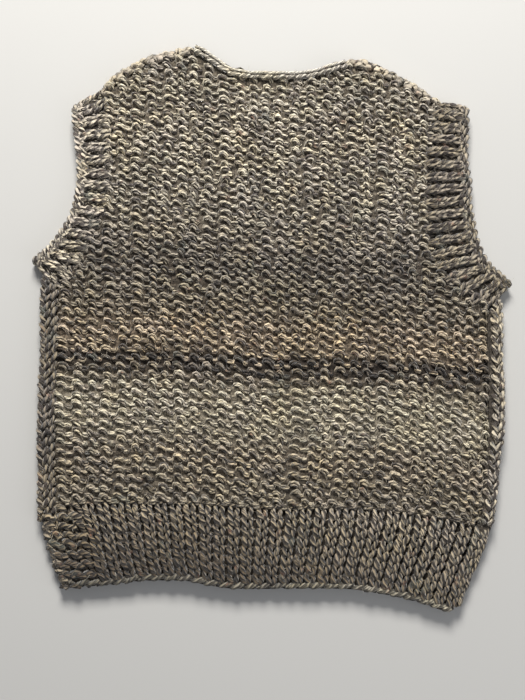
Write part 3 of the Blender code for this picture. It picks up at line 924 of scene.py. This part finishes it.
# The cloths under the stitches are coloured dark: painted shade of the gaps, grooves and valleys
# between the loops.
shaded_ground_wool = shaded_cloth("shaded_ground_wool", GROUND_DYE_IN_SHADE)
shaded_gap_wool = shaded_cloth("shaded_gap_wool", dyes((0.0, 64, 56, 47)))
shaded_groove_wool = shaded_cloth("shaded_groove_wool", dyes((0.0, 88, 80, 70)))


# --- Cloth under the stitches ---


LEVEL_ENOUGH = 0.3  # upward share of a normal from which a place counts as part of a face
SAME_PLACE = 1e-6  # metres between vertices that are one


def edit_all(edit, **settings):
    """Runs an edit on the whole of the active mesh."""
    bpy.ops.object.mode_set(mode="EDIT")
    bpy.ops.mesh.select_all(action="SELECT")
    edit(**settings)
    bpy.ops.object.mode_set(mode="OBJECT")


def under_cloth(node, pull_in, lowered=0.0, raised=0.0, wool=shaded_gap_wool):
    """A thin cloth on a solid's form, pulled in so that the stitches stand proud of it."""
    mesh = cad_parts[node].data.copy()
    mesh.name = node.title() + "_Cloth"
    made = new_object(node + "_cloth", mesh)
    bpy.ops.object.select_all(action="DESELECT")
    bpy.context.view_layer.objects.active = made
    made.select_set(True)
    edit_all(bpy.ops.mesh.remove_doubles, threshold=SAME_PLACE)
    thin_out(mesh, lowered, raised)
    edit_all(bpy.ops.transform.shrink_fatten, value=-pull_in * MILLIMETRE)
    for vertex in mesh.vertices:
        vertex.co.z = max(vertex.co.z, 0.0)
    mesh.materials.clear()
    put_on(made, wool)
    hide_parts(node)
    return made


def thin_out(mesh, lowered, raised):
    """Moves a wall's upper face down and its lower face up."""
    if not (lowered or raised):
        return
    for vertex in mesh.vertices:
        if vertex.normal.z > LEVEL_ENOUGH:
            vertex.co.z -= lowered * MILLIMETRE
        if vertex.normal.z < -LEVEL_ENOUGH:
            vertex.co.z += raised * MILLIMETRE


# --- Body rows ---


def row_levels():
    """Height of each body row above the hem's join, closer together towards the neck."""
    levels = [0.5 * ROW_LOW]
    while levels[-1] < BODY_RISE:
        share = levels[-1] / BODY_RISE
        levels.append(levels[-1] + ROW_LOW + (ROW_HIGH - ROW_LOW) * share)
    return np.array(levels)


LEVELS = row_levels()
COLUMNS = np.arange(36) - 2.0  # the columns' edges, with a few to spare at both sides
WANDER = 0.09  # how far a column strays from one row to the next, in stitches
LEFT_SIDE_X, RIGHT_SIDE_X = -232.0, 237.0  # the columns' sides at the hem
SLANT_FROM, SLANT_OVER = -130.0, 80.0  # y below which they part from the seams, and over what
UNDER_SEAM = 6.5  # how far the rows run on under the right seam
NECK_ROOM = 0.68 * ROW_HIGH  # what a row leaves free below the neck and the shoulders
WAVE_OVER = 50.0  # rise over which the rows take on their wave
SAG_FROM, SAG_OVER = 60.0, 260.0  # rise from which they lose the hem's sag, and over what
HALFWAY_YARN, CROWN_MORE = 0.87, 0.14  # its radius halfway down, and what a crown adds, in YARN
DYE_BLUR = 2.5  # how far the dyes run into each other
BACK_TUCK, FRONT_TUCK = 2.0, 1.0  # how deep a row's ends are tucked in

# How the lower rows wave about the hem's line, with the step at the long crease: x, height.
ROW_WAVE = (
    (-232.0, 0.0),
    (-190.0, -1.5),
    (-126.0, 1.8),
    (-62.0, 1.8),
    (-25.0, 0.2),
    (3.0, -3.8),
    (35.0, -2.4),
    (67.0, 0.6),
    (132.0, 1.2),
    (196.0, -0.8),
    (232.0, 0.0),
)
WAVE_LINE = even_rows(ROW_WAVE, 200)


def row_base(x, rise):
    """Where the hem's join line would be for a row: rows keep its sag, more evenly higher up."""
    near = y_at(JOIN_LINE, x)
    near = near + smoothstep(rise / WAVE_OVER) * y_at(WAVE_LINE, x)
    far = JOIN_Y - ROW_TILT * x
    return near + smoothstep((rise - SAG_FROM) / SAG_OVER) * (far - near)


def body_plan(across, rows):
    """Plan of a place that is counted in stitches from the left edge and in rows."""
    rise = np.interp(rows, np.arange(len(LEVELS)), LEVELS)
    low = smoothstep((SLANT_FROM - (rise + JOIN_Y)) / SLANT_OVER)
    left_seam = x_at(LEFT_LINE, rise + JOIN_Y)
    right_seam = x_at(RIGHT_LINE, rise + RIGHT_JOIN_Y) + UNDER_SEAM
    left = LEFT_SIDE_X + low * (left_seam - LEFT_SIDE_X)
    right = RIGHT_SIDE_X + low * (right_seam - RIGHT_SIDE_X)
    x = left + across / BODY_STITCHES * (right - left)
    return x, row_base(x, rise) + rise


def runs(inside):
    """First and last + 1 of each run of true values."""
    edges = np.flatnonzero(np.diff(np.concatenate([[0], inside.astype(int), [0]])))
    return list(zip(edges[::2], edges[1::2]))


def turned(level, outward):
    """Height of a level on the back, or of the same level turned over for the front."""
    return level if outward > 0 else TOP - level


def lay_row(skein, number, start, stop, face, outward, tuck, wander):
    """One run of purl loops, tucked in at both ends; number counts the rows from the hem."""
    across, up, depth = worked_row(PURL, start, stop)
    x, y = body_plan(across + np.interp(across, COLUMNS, wander), number + up)
    from_end = np.minimum(across - start, stop - across)
    sink = tuck * (1 - smoothstep(from_end / 0.5))
    level = face(x, y) - YARN - BODY_DEPTH * (1 - depth) - sink
    radius = YARN * (HALFWAY_YARN + CROWN_MORE * depth)
    radius = radius * uneven(len(x), 0.09) * uneven(len(x), 0.07, 3)
    line = np.column_stack([x, y, turned(level, outward)])
    blur = DYE_BLUR * (uneven(len(x), 1.0, 31) - 1)
    course = (LEVELS[number] + across / BODY_STITCHES + blur) / BODY_RISE
    # Share of painted shade: none near the crowns, all on the deep legs.
    deep = smoothstep((0.6 - depth) / 1.2)
    lay = skein.lay_three if outward > 0 else skein.lay
    lay(line, (0.0, 0.0, outward), radius, course, deep)


def body_layer(neck, face, outward, skeins, tuck):
    """Rows of purl loops over one layer. outward is 1 for the back and -1 for the front."""
    outline = top_outline(neck)
    centres = np.arange(-1, BODY_STITCHES + 2) + 0.5
    wander = np.zeros(len(COLUMNS))
    for number in range(len(LEVELS)):
        wander = 0.8 * wander + chance.normal(0, WANDER, len(COLUMNS))
        x, y = body_plan(centres, np.full(len(centres), float(number)))
        inside = (x > x_at(LEFT_LINE, y) - 1.0) & (x < x_at(RIGHT_LINE, y) + 6.0)
        inside &= y < y_at(outline, x) - NECK_ROOM
        skein = skeins[int(number / len(LEVELS) * len(skeins))]
        for first, last in runs(inside):
            if last - first > 1:
                lay_row(skein, number, first - 1, last - 1, face, outward, tuck, wander)


BACK_PARTS = ("back_rows_low", "back_rows_middle", "back_rows_high")
FRONT_PARTS = ("front_rows_low", "front_rows_high")


def knit_body():
    """Both layers, each in parts from the hem up, as two lists of pieces."""
    back, front = [Skein() for _ in BACK_PARTS], [Skein() for _ in FRONT_PARTS]
    body_layer(NECK_BACK, back_face, 1, back, BACK_TUCK)
    body_layer(NECK_FRONT, front_face, -1, front, FRONT_TUCK)
    layers = []
    for skeins, names in ((back, BACK_PARTS), (front, FRONT_PARTS)):
        pieces = [skein.piece(name, body_wool, "body_knit") for skein, name in zip(skeins, names)]
        layers.append(pieces)
    return layers


# --- Armbands ---


FOLD_STEPS = 9  # points round each fold
SHOULDER_FOLD = (0.0, 1.0)  # direction in which the bands fold over at the shoulders
BAND_YARN = 2.5
LOOP_REACH = 0.92  # a loop's height in rows, in the bands and the hem
FOLD_DEPTH = 1.4  # half the depth of a loop on the bands and the shoulders
PICKED_UP = 1.07  # share inward at which the ribs start, just under the body's rows
UNDER_CHAIN = 0.75  # share of the chain's width at which they end, in from the outer edge
BIND_OFF = ((0.26, 0.0), (0.82, 2.4))  # its columns' share of the chain, and their lag in a turn
CHAIN_STEPS = 12  # points in one of its loops
CHAIN_ACROSS, CHAIN_ALONG = 0.17, 0.18  # how far its loops swing, as shares of chain and loop
CHAIN_DEPTH, CHAIN_SUNK = 1.5, 1.9  # half the depth of its loops, and their crowns' own depth


class Band:
    """An armband folded flat: round it in ribs, across it from its inner edge, and off its fold."""

    def __init__(self, rows, ribs):
        upper = even_rows(rows, ribs)
        self.ribs = ribs
        self.around = 2 * ribs + 2
        turn = np.linspace(0, math.pi, FOLD_STEPS)
        underarm, shoulder = (np.repeat(row, FOLD_STEPS, 0) for row in (upper[-1:], upper[:1]))
        self.places = np.vstack([upper, underarm, upper[::-1], shoulder])
        counts = [np.arange(ribs + 1), ribs + turn / math.pi]
        counts += [ribs + 1 + np.arange(ribs + 1), 2 * ribs + 1 + turn / math.pi]
        self.counts = np.concatenate(counts)
        angles = [np.zeros(ribs + 1), turn, np.full(ribs + 1, math.pi), math.pi - turn]
        self.angles = np.concatenate(angles)
        self.folds = np.array([across_the_fold(rows), SHOULDER_FOLD])

    def at(self, around, inward, lift):
        """Points and outward directions. inward is 0 at the outer edge and 1 at the inner one."""
        around = np.mod(around, self.around)
        row = between(around, self.counts, self.places)
        angle = np.interp(around, self.counts, self.angles)
        at_shoulder = around > self.ribs + 0.5 + self.ribs / 2
        bulge = self.folds[at_shoulder.astype(int)]
        plan = inward_by(inward[:, None], row) + bulge * (lift * np.sin(angle))[:, None]
        z = FOLD_PLANE + lift * np.cos(angle)
        up = np.column_stack([bulge * np.sin(angle)[:, None], np.cos(angle)])
        return np.column_stack([plan, z]), up


def knit_band(name, rows, ribs, rib_rows, chain, dye, beads):
    """Ribs run across the band, outward from where they are picked up, to a bound-off chain.

    chain is the chain's share of the band's width, and beads the loops of it to a rib.
    """
    band = Band(rows, ribs)
    skein = Skein()
    start = ribs + 1 + ribs // 2
    for number in range(rib_rows):
        across, up, depth = worked_row(RIB, start, start + band.around, 0.95)
        outward = (number + 0.4 + up * LOOP_REACH) / rib_rows
        inward = PICKED_UP - outward * (PICKED_UP - UNDER_CHAIN * chain)
        lift = FOLD_PLANE + PROUD - BAND_YARN - FOLD_DEPTH * (1 - depth)
        line, out = band.at(across, inward, lift)
        course = np.full(len(line), dye + 0.3 * chance.uniform())
        skein.lay(line, out, BAND_YARN * uneven(len(line), 0.09), course)
    # The bound-off edge: two columns of slanted loops.
    turns = round(beads * band.around)
    angle = np.linspace(0, turns * math.tau, turns * CHAIN_STEPS + 1)
    for place, lag in BIND_OFF:
        swing = angle + lag + 0.4 * (uneven(len(angle), 1.0, 25) - 1)
        around = swing / turns * band.around / math.tau - CHAIN_ALONG / beads * np.cos(swing)
        inward = chain * (place - CHAIN_ACROSS * np.cos(swing))
        lift = FOLD_PLANE - CHAIN_SUNK - CHAIN_DEPTH * (1 - np.sin(swing))
        line, out = band.at(around, inward, lift)
        skein.lay(line, out, BAND_YARN * uneven(len(line), 0.1), dye + 0.2)
    return skein.piece(name, band_wool, "rib_knit")


# --- Seams and edges ---


COIL_STEPS = 10  # points in a turn of a coil


def rope(skein, path, up, coil, pitch, thick, course, hand=1, stretch=0.0, flat=1.0):
    """A strand coiled about a path, whose front shows as slanted loops.

    hand is 1 or -1, the way in which it winds; stretch draws the loops out along the path,
    and flat is the coil's height as a share of its width.
    """
    length = length_along(path)
    turns = max(2, round(length[-1] / pitch))
    count = turns * COIL_STEPS + 1
    wobble = 0.45 * (uneven(count, 1.0, 21) - 1)
    angle = math.pi / 2 + hand * (np.linspace(0, turns * math.tau, count) + wobble)
    wanted = np.linspace(0, length[-1], count)
    wanted = np.clip(wanted - hand * stretch * np.cos(angle), 0, length[-1])
    wanted += np.linspace(0, 0.01, count)  # so that no two points meet at an end
    centre = between(wanted, length, path)
    out = between(wanted, length, np.broadcast_to(np.asarray(up, float), path.shape))
    ahead = np.column_stack([np.gradient(column, length) for column in path.T])
    side = unit(np.cross(between(wanted, length, ahead), out))
    reach = coil * uneven(count, 0.2)
    line = centre + (reach * np.cos(angle))[:, None] * side
    line = line + (flat * reach * np.sin(angle))[:, None] * out
    skein.lay(line, out, thick * uneven(count, 0.1), course)


def seam_path(rows, inward, height):
    plan = inward_by(inward, even_rows(rows, 60))
    return np.column_stack([plan, np.full(len(plan), height)])


def knit_seam(name, rows, columns, dye):
    """A rolled side seam: slanted loops on its crown, its outer side and its foot."""
    skein = Skein()
    for inward, height, up, coil, pitch, thick, hand, stretch, lowest in columns:
        path = seam_path(rows, inward, height)
        path = path[path[:, 1] > lowest]
        rope(skein, path, up, coil, pitch, thick, dye, hand, stretch)
    return skein.piece(name, band_wool, "seam_knit")


LEFT_SIDE, RIGHT_SIDE = (-1.0, 0.0, 0.0), (1.0, 0.0, 0.0)
SKY, GROUND = (0.0, 0.0, 1.0), (0.0, 0.0, -1.0)
# A seam's columns of loops, which slant one way or the other: share inward, height, way out,
# coil, pitch, thickness, hand, stretch, and how far down they run.
LEFT_COLUMNS = (
    (0.19, 11.7, SKY, 2.1, 9.4, 2.5, 1, 1.8, -206.0),
    (0.48, 12.2, SKY, 2.2, 9.4, 2.5, -1, 1.8, -206.0),
    (0.90, 12.2, SKY, 1.9, 9.6, 2.4, -1, 2.0, -206.0),
    (0.22, 7.6, LEFT_SIDE, 2.4, 9.8, 2.6, 1, 1.0, -208.0),
    (0.30, 4.6, GROUND, 2.3, 9.8, 2.6, 1, 1.0, -208.0),
    (0.80, 4.4, GROUND, 2.3, 9.8, 2.6, -1, 1.0, -208.0),
)
RIGHT_COLUMNS = (
    (0.50, 12.3, SKY, 2.1, 10.4, 2.5, 1, 2.0, -216.0),
    (0.22, 12.1, SKY, 2.2, 10.4, 2.6, -1, 2.0, -216.0),
    (0.20, 7.6, RIGHT_SIDE, 2.2, 9.8, 2.5, -1, 1.0, -208.0),
    (0.30, 4.6, GROUND, 2.3, 9.8, 2.6, 1, 1.0, -208.0),
    (0.78, 4.4, GROUND, 2.3, 9.8, 2.6, -1, 1.0, -208.0),
)


# --- Hem ---


LEFT_SIDE_LINE = even_rows(LEFT_SEAM, 80)[::-1, :2]
RIGHT_SIDE_LINE = even_rows(RIGHT_SEAM, 80)[::-1, :2]
# Height of the hem's lower corners, and of its upper end at the left.
LEFT_FOOT_Y, RIGHT_FOOT_Y = -281.0, -300.0
LEFT_HEM_TOP = -198.0
SIDE_ROPES_TOP = -203.0  # up to where the strands at its sides run
PURL_YARN, KNIT_YARN = 3.3, 3.0  # radius of the yarn in its purl and knit columns
HEM_PROUD = 1.0  # how far its crowns stand out of the face
HEM_DEPTH = 1.8  # half the depth of its loops
HEM_TUCK, TUCKED_ROWS = 2.6, 0.8  # how deep its top runs in under the body, and over how many rows
FRONT_HEM_UP = 0.8  # how far the front's hem is raised off the ground


def hem_plan(across, rows):
    """Plan of a place in the hem, counted in columns and in rows up from its lower edge."""
    share = rows / HEM_ROWS
    left = x_at(LEFT_SIDE_LINE, LEFT_FOOT_Y + share * (LEFT_HEM_TOP - LEFT_FOOT_Y)) - 1.5
    right = x_at(RIGHT_SIDE_LINE, RIGHT_FOOT_Y + share * (RIGHT_JOIN_Y - RIGHT_FOOT_Y)) - 4.5
    x = left + across / HEM_COLUMNS * (right - left)
    lower, upper = y_at(EDGE_LINE, x) + 4.0, y_at(JOIN_LINE, x) + 2.0
    return x, lower + share * (upper - lower)


def rounded_side(x, y):
    """How far a row's ends turn down at the hem's sides."""
    left, right = x_at(LEFT_SIDE_LINE, y) - 0.5, x_at(RIGHT_SIDE_LINE, y) - 1.0
    return turned_down(np.minimum(x - left, right - x))


# Strands along the hem's sides: share inward, height, way out, coil, pitch, thickness.
LEFT_HEM = ((0.12, 8.2, LEFT_SIDE, 2.0, 10.5, 3.0), (0.30, 10.8, SKY, 1.6, 10.5, 2.8))
RIGHT_HEM = ((0.16, 10.9, SKY, 0.5, 23.0, 2.5), (0.15, 7.4, RIGHT_SIDE, 0.6, 23.0, 2.7))
HEM_GROUND = ((0.30, 4.6, GROUND, 2.3, 9.8, 2.6), (0.80, 4.4, GROUND, 2.3, 9.8, 2.6))


def hem_side(skein, rows, ropes):
    """Strands along one side of the hem."""
    for inward, height, up, coil, pitch, thick in ropes:
        path = seam_path(rows, inward, height)
        rope(skein, path[path[:, 1] < SIDE_ROPES_TOP], up, coil, pitch, thick, 0.9)


def knit_hem(name, outward):
    """Rows of a few purl columns and then knit ones; outward is 1 for the back's hem."""
    skein = Skein()
    for number in range(HEM_ROWS):
        purl = worked_row(PURL, 0, PURL_COLUMNS, 1.7)
        knit = worked_row(KNIT, PURL_COLUMNS, HEM_COLUMNS, 0.5)
        across, up, depth = (np.concatenate(pair) for pair in zip(purl, knit))
        rows = number + 0.48 + LOOP_REACH * up
        x, y = hem_plan(across, rows)
        tucked = HEM_TUCK * smoothstep((rows - HEM_ROWS + TUCKED_ROWS) / TUCKED_ROWS)
        level = TOP + HEM_PROUD - YARN - HEM_DEPTH * (1 - depth) - tucked - rounded_side(x, y)
        if outward > 0:
            level = level + fold_height(x, y)
        z = level if outward > 0 else TOP - level + FRONT_HEM_UP
        line = np.column_stack([x, y, z])
        # Paler up the hem, and from its tenth column to the right.
        course = 0.75 * number / HEM_ROWS + 0.08 + 0.35 * smoothstep((across - 10.0) / 18.0)
        thick = np.where(across < PURL_COLUMNS, PURL_YARN, KNIT_YARN * (0.9 + 0.12 * depth))
        skein.lay(line, (0, 0, outward), thick * uneven(len(x), 0.09), course)
    left_ropes, right_ropes = (LEFT_HEM, RIGHT_HEM) if outward > 0 else (HEM_GROUND, HEM_GROUND)
    hem_side(skein, LEFT_SEAM, left_ropes)
    hem_side(skein, RIGHT_SEAM, right_ropes)
    return skein.piece(name, rib_wool, "rib_knit")


SHOULDER_STITCH = 12.8  # width of a loop along the shoulder
# Middles of its rows, and half their height, as shares of the turn round the fold.
SHOULDER_ROWS, SHOULDER_REACH = (0.14, 0.47, 0.80), 0.3


def knit_shoulder(name, rows):
    """Purl loops turned over the shoulder fold, from the back round to the front."""
    skein = Skein()
    stations = even_rows(rows, 40)
    length = strip_length(rows)
    count = round(length / SHOULDER_STITCH)
    inward = unit(stations[:, 2:] - stations[:, :2])
    spans = np.linspace(0, count, len(stations))
    for number, middle in enumerate(SHOULDER_ROWS):
        across, up, depth = worked_row(PURL, 0, count, 1.2)
        edge, into = between(across, spans, stations[:, :2]), between(across, spans, inward)
        angle = math.pi * np.clip(middle + SHOULDER_REACH * up, 0.0, 1.0)
        reach = FOLD_PLANE + PROUD - YARN - FOLD_DEPTH * (1 - depth)
        off = FOLD_PLANE - 0.2 - reach * np.sin(angle)
        plan = edge + into * off[:, None]
        z = FOLD_PLANE + reach * np.cos(angle)
        out = np.column_stack([-into * np.sin(angle)[:, None], np.cos(angle)])
        line = np.column_stack([plan, z])
        course = np.full(len(line), 0.56 - 0.01 * number)
        skein.lay(line, out, YARN * uneven(len(line), 0.08), course)
    return skein.piece(name, body_wool, "seam_knit")


# The strands of the neck edge: share inward, radius, coil, pitch, depth, place in the dyes.
NECK_STRANDS = ((0.32, 1.7, 0.25, 24.0, -0.3, 1.0), (0.95, 2.4, 0.8, 13.0, 1.6, 0.86))


def knit_neck(name, rows, face, outward):
    """A narrow bound-off edge: a thin pale strand with a row of small loops beside it."""
    skein = Skein()
    stations = even_rows(rows, 60)
    for share, radius, coil, pitch, drop, course in NECK_STRANDS:
        plan = inward_by(share, stations)
        z = turned(face(plan[:, 0], plan[:, 1]) - drop, outward)
        path = np.column_stack([plan, z])
        rope(skein, path, (0, 0, outward), coil, pitch, radius, course, 1, 1.5)
    return skein.piece(name, edge_wool, "edge_knit")


CHAIN_PITCH = 14.0  # length of a loop in the cast-on chain


def knit_cast_on(name, outward):
    """The hem's lower edge: one chain of slanted loops."""
    skein = Skein()
    x = np.linspace(HEM_EDGE[0][0] - 13.0, HEM_EDGE[-1][0] + 4.0, 120)
    y = y_at(EDGE_LINE, x) + 3.4
    level = TOP - 3.8 if outward > 0 else 4.4
    path = np.column_stack([x, y, np.full(len(x), level)])
    turns = max(2, round(strip_length(path[:, :2]) / CHAIN_PITCH))
    course = np.linspace(0.0, 0.5, turns * COIL_STEPS + 1)
    rope(skein, path, (0, 0, outward), 1.5, CHAIN_PITCH, 3.0, course, outward, 3.0, 1.2)
    return skein.piece(name, edge_wool, "edge_knit")


# --- Stray fibres ---

FIBRE = 0.15  # radius of a fibre at its root
FIBRE_SHARES = ((0.0, 1.0), (0.55, 0.7), (1.0, 0.0))  # share of its length, of its thickness
FIBRE_CORNERS = 3
SHORTEST, LONGEST = 2.0, 8.0
FIBRE_LEAN, FIBRE_CURL = 0.6, 0.5  # how far fibres lean away from the yarn's skin, and curl
SIDE_REACH = 4.5  # how far from the fold's middle a strand also bears fibres at its sides
LOWEST = 0.1  # clearance of a fibre above the surface below


def fibre_faces():
    """Faces of one fibre: its root's end, two rings of sides and the point."""
    ring = [(k, (k + 1) % FIBRE_CORNERS) for k in range(FIBRE_CORNERS)]
    faces = [(2, 1, 0)]
    faces += [(k, after, 3 + after) for k, after in ring]
    faces += [(k, 3 + after, 3 + k) for k, after in ring]
    faces += [(3 + k, 3 + after, 6) for k, after in ring]
    return np.array(faces)


def stray_fibres(name, share):
    """Fine hairs that stand out of the yarn, each a thin closed spike; share of places with one."""
    roots = np.vstack([root for skein in worked for root in skein.roots])
    chosen = roots[chance.choice(len(roots), int(len(roots) * share), replace=False)]
    middle, root = chosen[:, :3], chosen[:, 3:]
    out = root - middle
    away = (out[:, 2] > 0.3) | (np.abs(middle[:, 2] - FOLD_PLANE) < SIDE_REACH)
    root, out = root[away], unit(out[away])
    count = len(root)
    heading = unit(out + chance.normal(0, FIBRE_LEAN, (count, 3)))
    curl = chance.normal(0, FIBRE_CURL, (count, 3))
    length = chance.uniform(SHORTEST, LONGEST, (count, 1))
    side = unit(np.cross(heading, np.roll(heading, 1, axis=1) + 0.01))
    other = np.cross(heading, side)

    points = []
    for place, thickness in FIBRE_SHARES:
        centre = root + (place * heading + place**2 * 0.4 * curl) * length
        for corner in range(FIBRE_CORNERS if thickness else 1):
            turn = math.tau * corner / FIBRE_CORNERS
            reach = FIBRE * thickness * (math.cos(turn) * side + math.sin(turn) * other)
            points.append(centre + reach)
    points = np.stack(points, axis=1)
    points[..., 2] = np.maximum(points[..., 2], LOWEST)
    corners = fibre_faces()[None] + points.shape[1] * np.arange(count)[:, None, None]
    points = (points - TABLE_MIDDLE) * MILLIMETRE
    mesh = bpy.data.meshes.new(name)
    mesh.from_pydata(points.reshape(-1, 3).tolist(), [], corners.reshape(-1, 3).tolist())
    mesh.update()
    return put_on(new_object(name, mesh), fibre_wool)


# --- Making the vest ---


def dress():
    """The whole vest; returns the cloths of the panels and the hems, and the rows of the body and
    the hems.
    """
    back = under_cloth("back_panel", 0.4, lowered=3.8, wool=shaded_ground_wool)
    front = under_cloth("front_panel", 0.4, raised=3.8, wool=shaded_ground_wool)
    # The hems' cloths take the darkest wool, as painted shade in the valleys between their ribs.
    back_hem = under_cloth("back_hem_rib", 1.2, lowered=4.4)
    front_hem = under_cloth("front_hem_rib", 1.2, raised=4.4)
    body = knit_body()
    hems = [knit_hem("back_hem_rows", 1), knit_hem("front_hem_rows", -1)]
    left = {"rib_rows": 3, "chain": 0.30, "dye": 0.5, "beads": 1.7}
    right = {"rib_rows": 4, "chain": 0.27, "dye": 0.0, "beads": 1.35}
    knit_band("armband_rows_left", LEFT_BAND, LEFT_BAND_RIBS, **left)
    knit_band("armband_rows_right", RIGHT_BAND, RIGHT_BAND_RIBS, **right)
    knit_seam("side_seam_loops_left", seam_rows(LEFT_BAND, LEFT_SEAM), LEFT_COLUMNS, 0.0)
    knit_seam("side_seam_loops_right", seam_rows(RIGHT_BAND, RIGHT_SEAM), RIGHT_COLUMNS, 0.55)
    knit_shoulder("shoulder_loops_left", LEFT_SHOULDER)
    knit_shoulder("shoulder_loops_right", RIGHT_SHOULDER)
    knit_neck("neck_strand_back", NECK_BACK, back_face, 1)
    knit_neck("neck_strand_front", NECK_FRONT, front_face, -1)
    knit_cast_on("cast_on_back", 1)
    knit_cast_on("cast_on_front", -1)
    # Dark cloths under the bands, seams and neck edges: painted shade in their grooves.
    for node in ("armband_left", "armband_right"):
        under_cloth(node, 4.4, wool=shaded_groove_wool)
    for node in ("side_seam_left", "side_seam_right", "shoulder_seam_left", "shoulder_seam_right"):
        under_cloth(node, 3.2, wool=shaded_groove_wool)
    for node in ("neck_edge_back", "neck_edge_front"):
        under_cloth(node, -0.6, lowered=2.4, raised=2.4, wool=shaded_groove_wool)
    stray_fibres("stray_fibres", 0.13)
    return back, front, back_hem, front_hem, body, hems


def floor():
    bpy.ops.object.select_all(action="DESELECT")
    bpy.ops.mesh.primitive_plane_add(size=8.0, location=(0, 0, 0))
    ground = bpy.context.active_object
    ground.name = "floor"
    ground.data.materials.append(Nodes("pale_floor").finish(linear(196, 195, 192), roughness=0.8))


def camera():
    lens = bpy.data.cameras.new("camera")
    lens.lens = 47.62
    lens.sensor_width = 36.0
    eye = new_object("camera", lens)
    eye.location = (-0.0095, -0.0901, 1.0071)
    eye.rotation_euler = (math.radians(3.5), 0.0, 0.0)
    bpy.context.scene.camera = eye


def lamp(name, place, aim, size, power, colour):
    """A soft lamp at a place, turned to what it is aimed at."""
    light = bpy.data.lights.new(name, "AREA")
    light.shape = "RECTANGLE"
    light.size, light.size_y = size
    light.energy = power
    light.color = colour
    made = new_object(name, light)
    made.location = place
    direction = np.array(aim) - np.array(place)
    yaw = math.atan2(direction[1], direction[0]) - math.pi / 2
    pitch = math.atan2(math.hypot(*direction[:2]), -direction[2])
    made.rotation_euler = (pitch, 0.0, yaw)


def lights():
    lamp("window", (-0.08, 1.85, 1.42), (0, 0.05, 0), (0.9, 0.7), 86.0, (1.0, 0.98, 0.94))
    lamp("fill", (1.3, -0.9, 1.0), (0.1, -0.2, 0), (1.4, 1.4), 7.0, (0.97, 0.98, 1.0))
    world = bpy.data.worlds.new("studio")
    world.use_nodes = True
    background = world.node_tree.nodes["Background"]
    background.inputs["Color"].default_value = (0.9, 0.93, 1.0, 1.0)
    background.inputs["Strength"].default_value = 0.25
    bpy.context.scene.world = world
    bpy.context.scene.view_settings.view_transform = "Standard"


back, front, back_hem, front_hem, body, hems = dress()
floor()
camera()
lights()
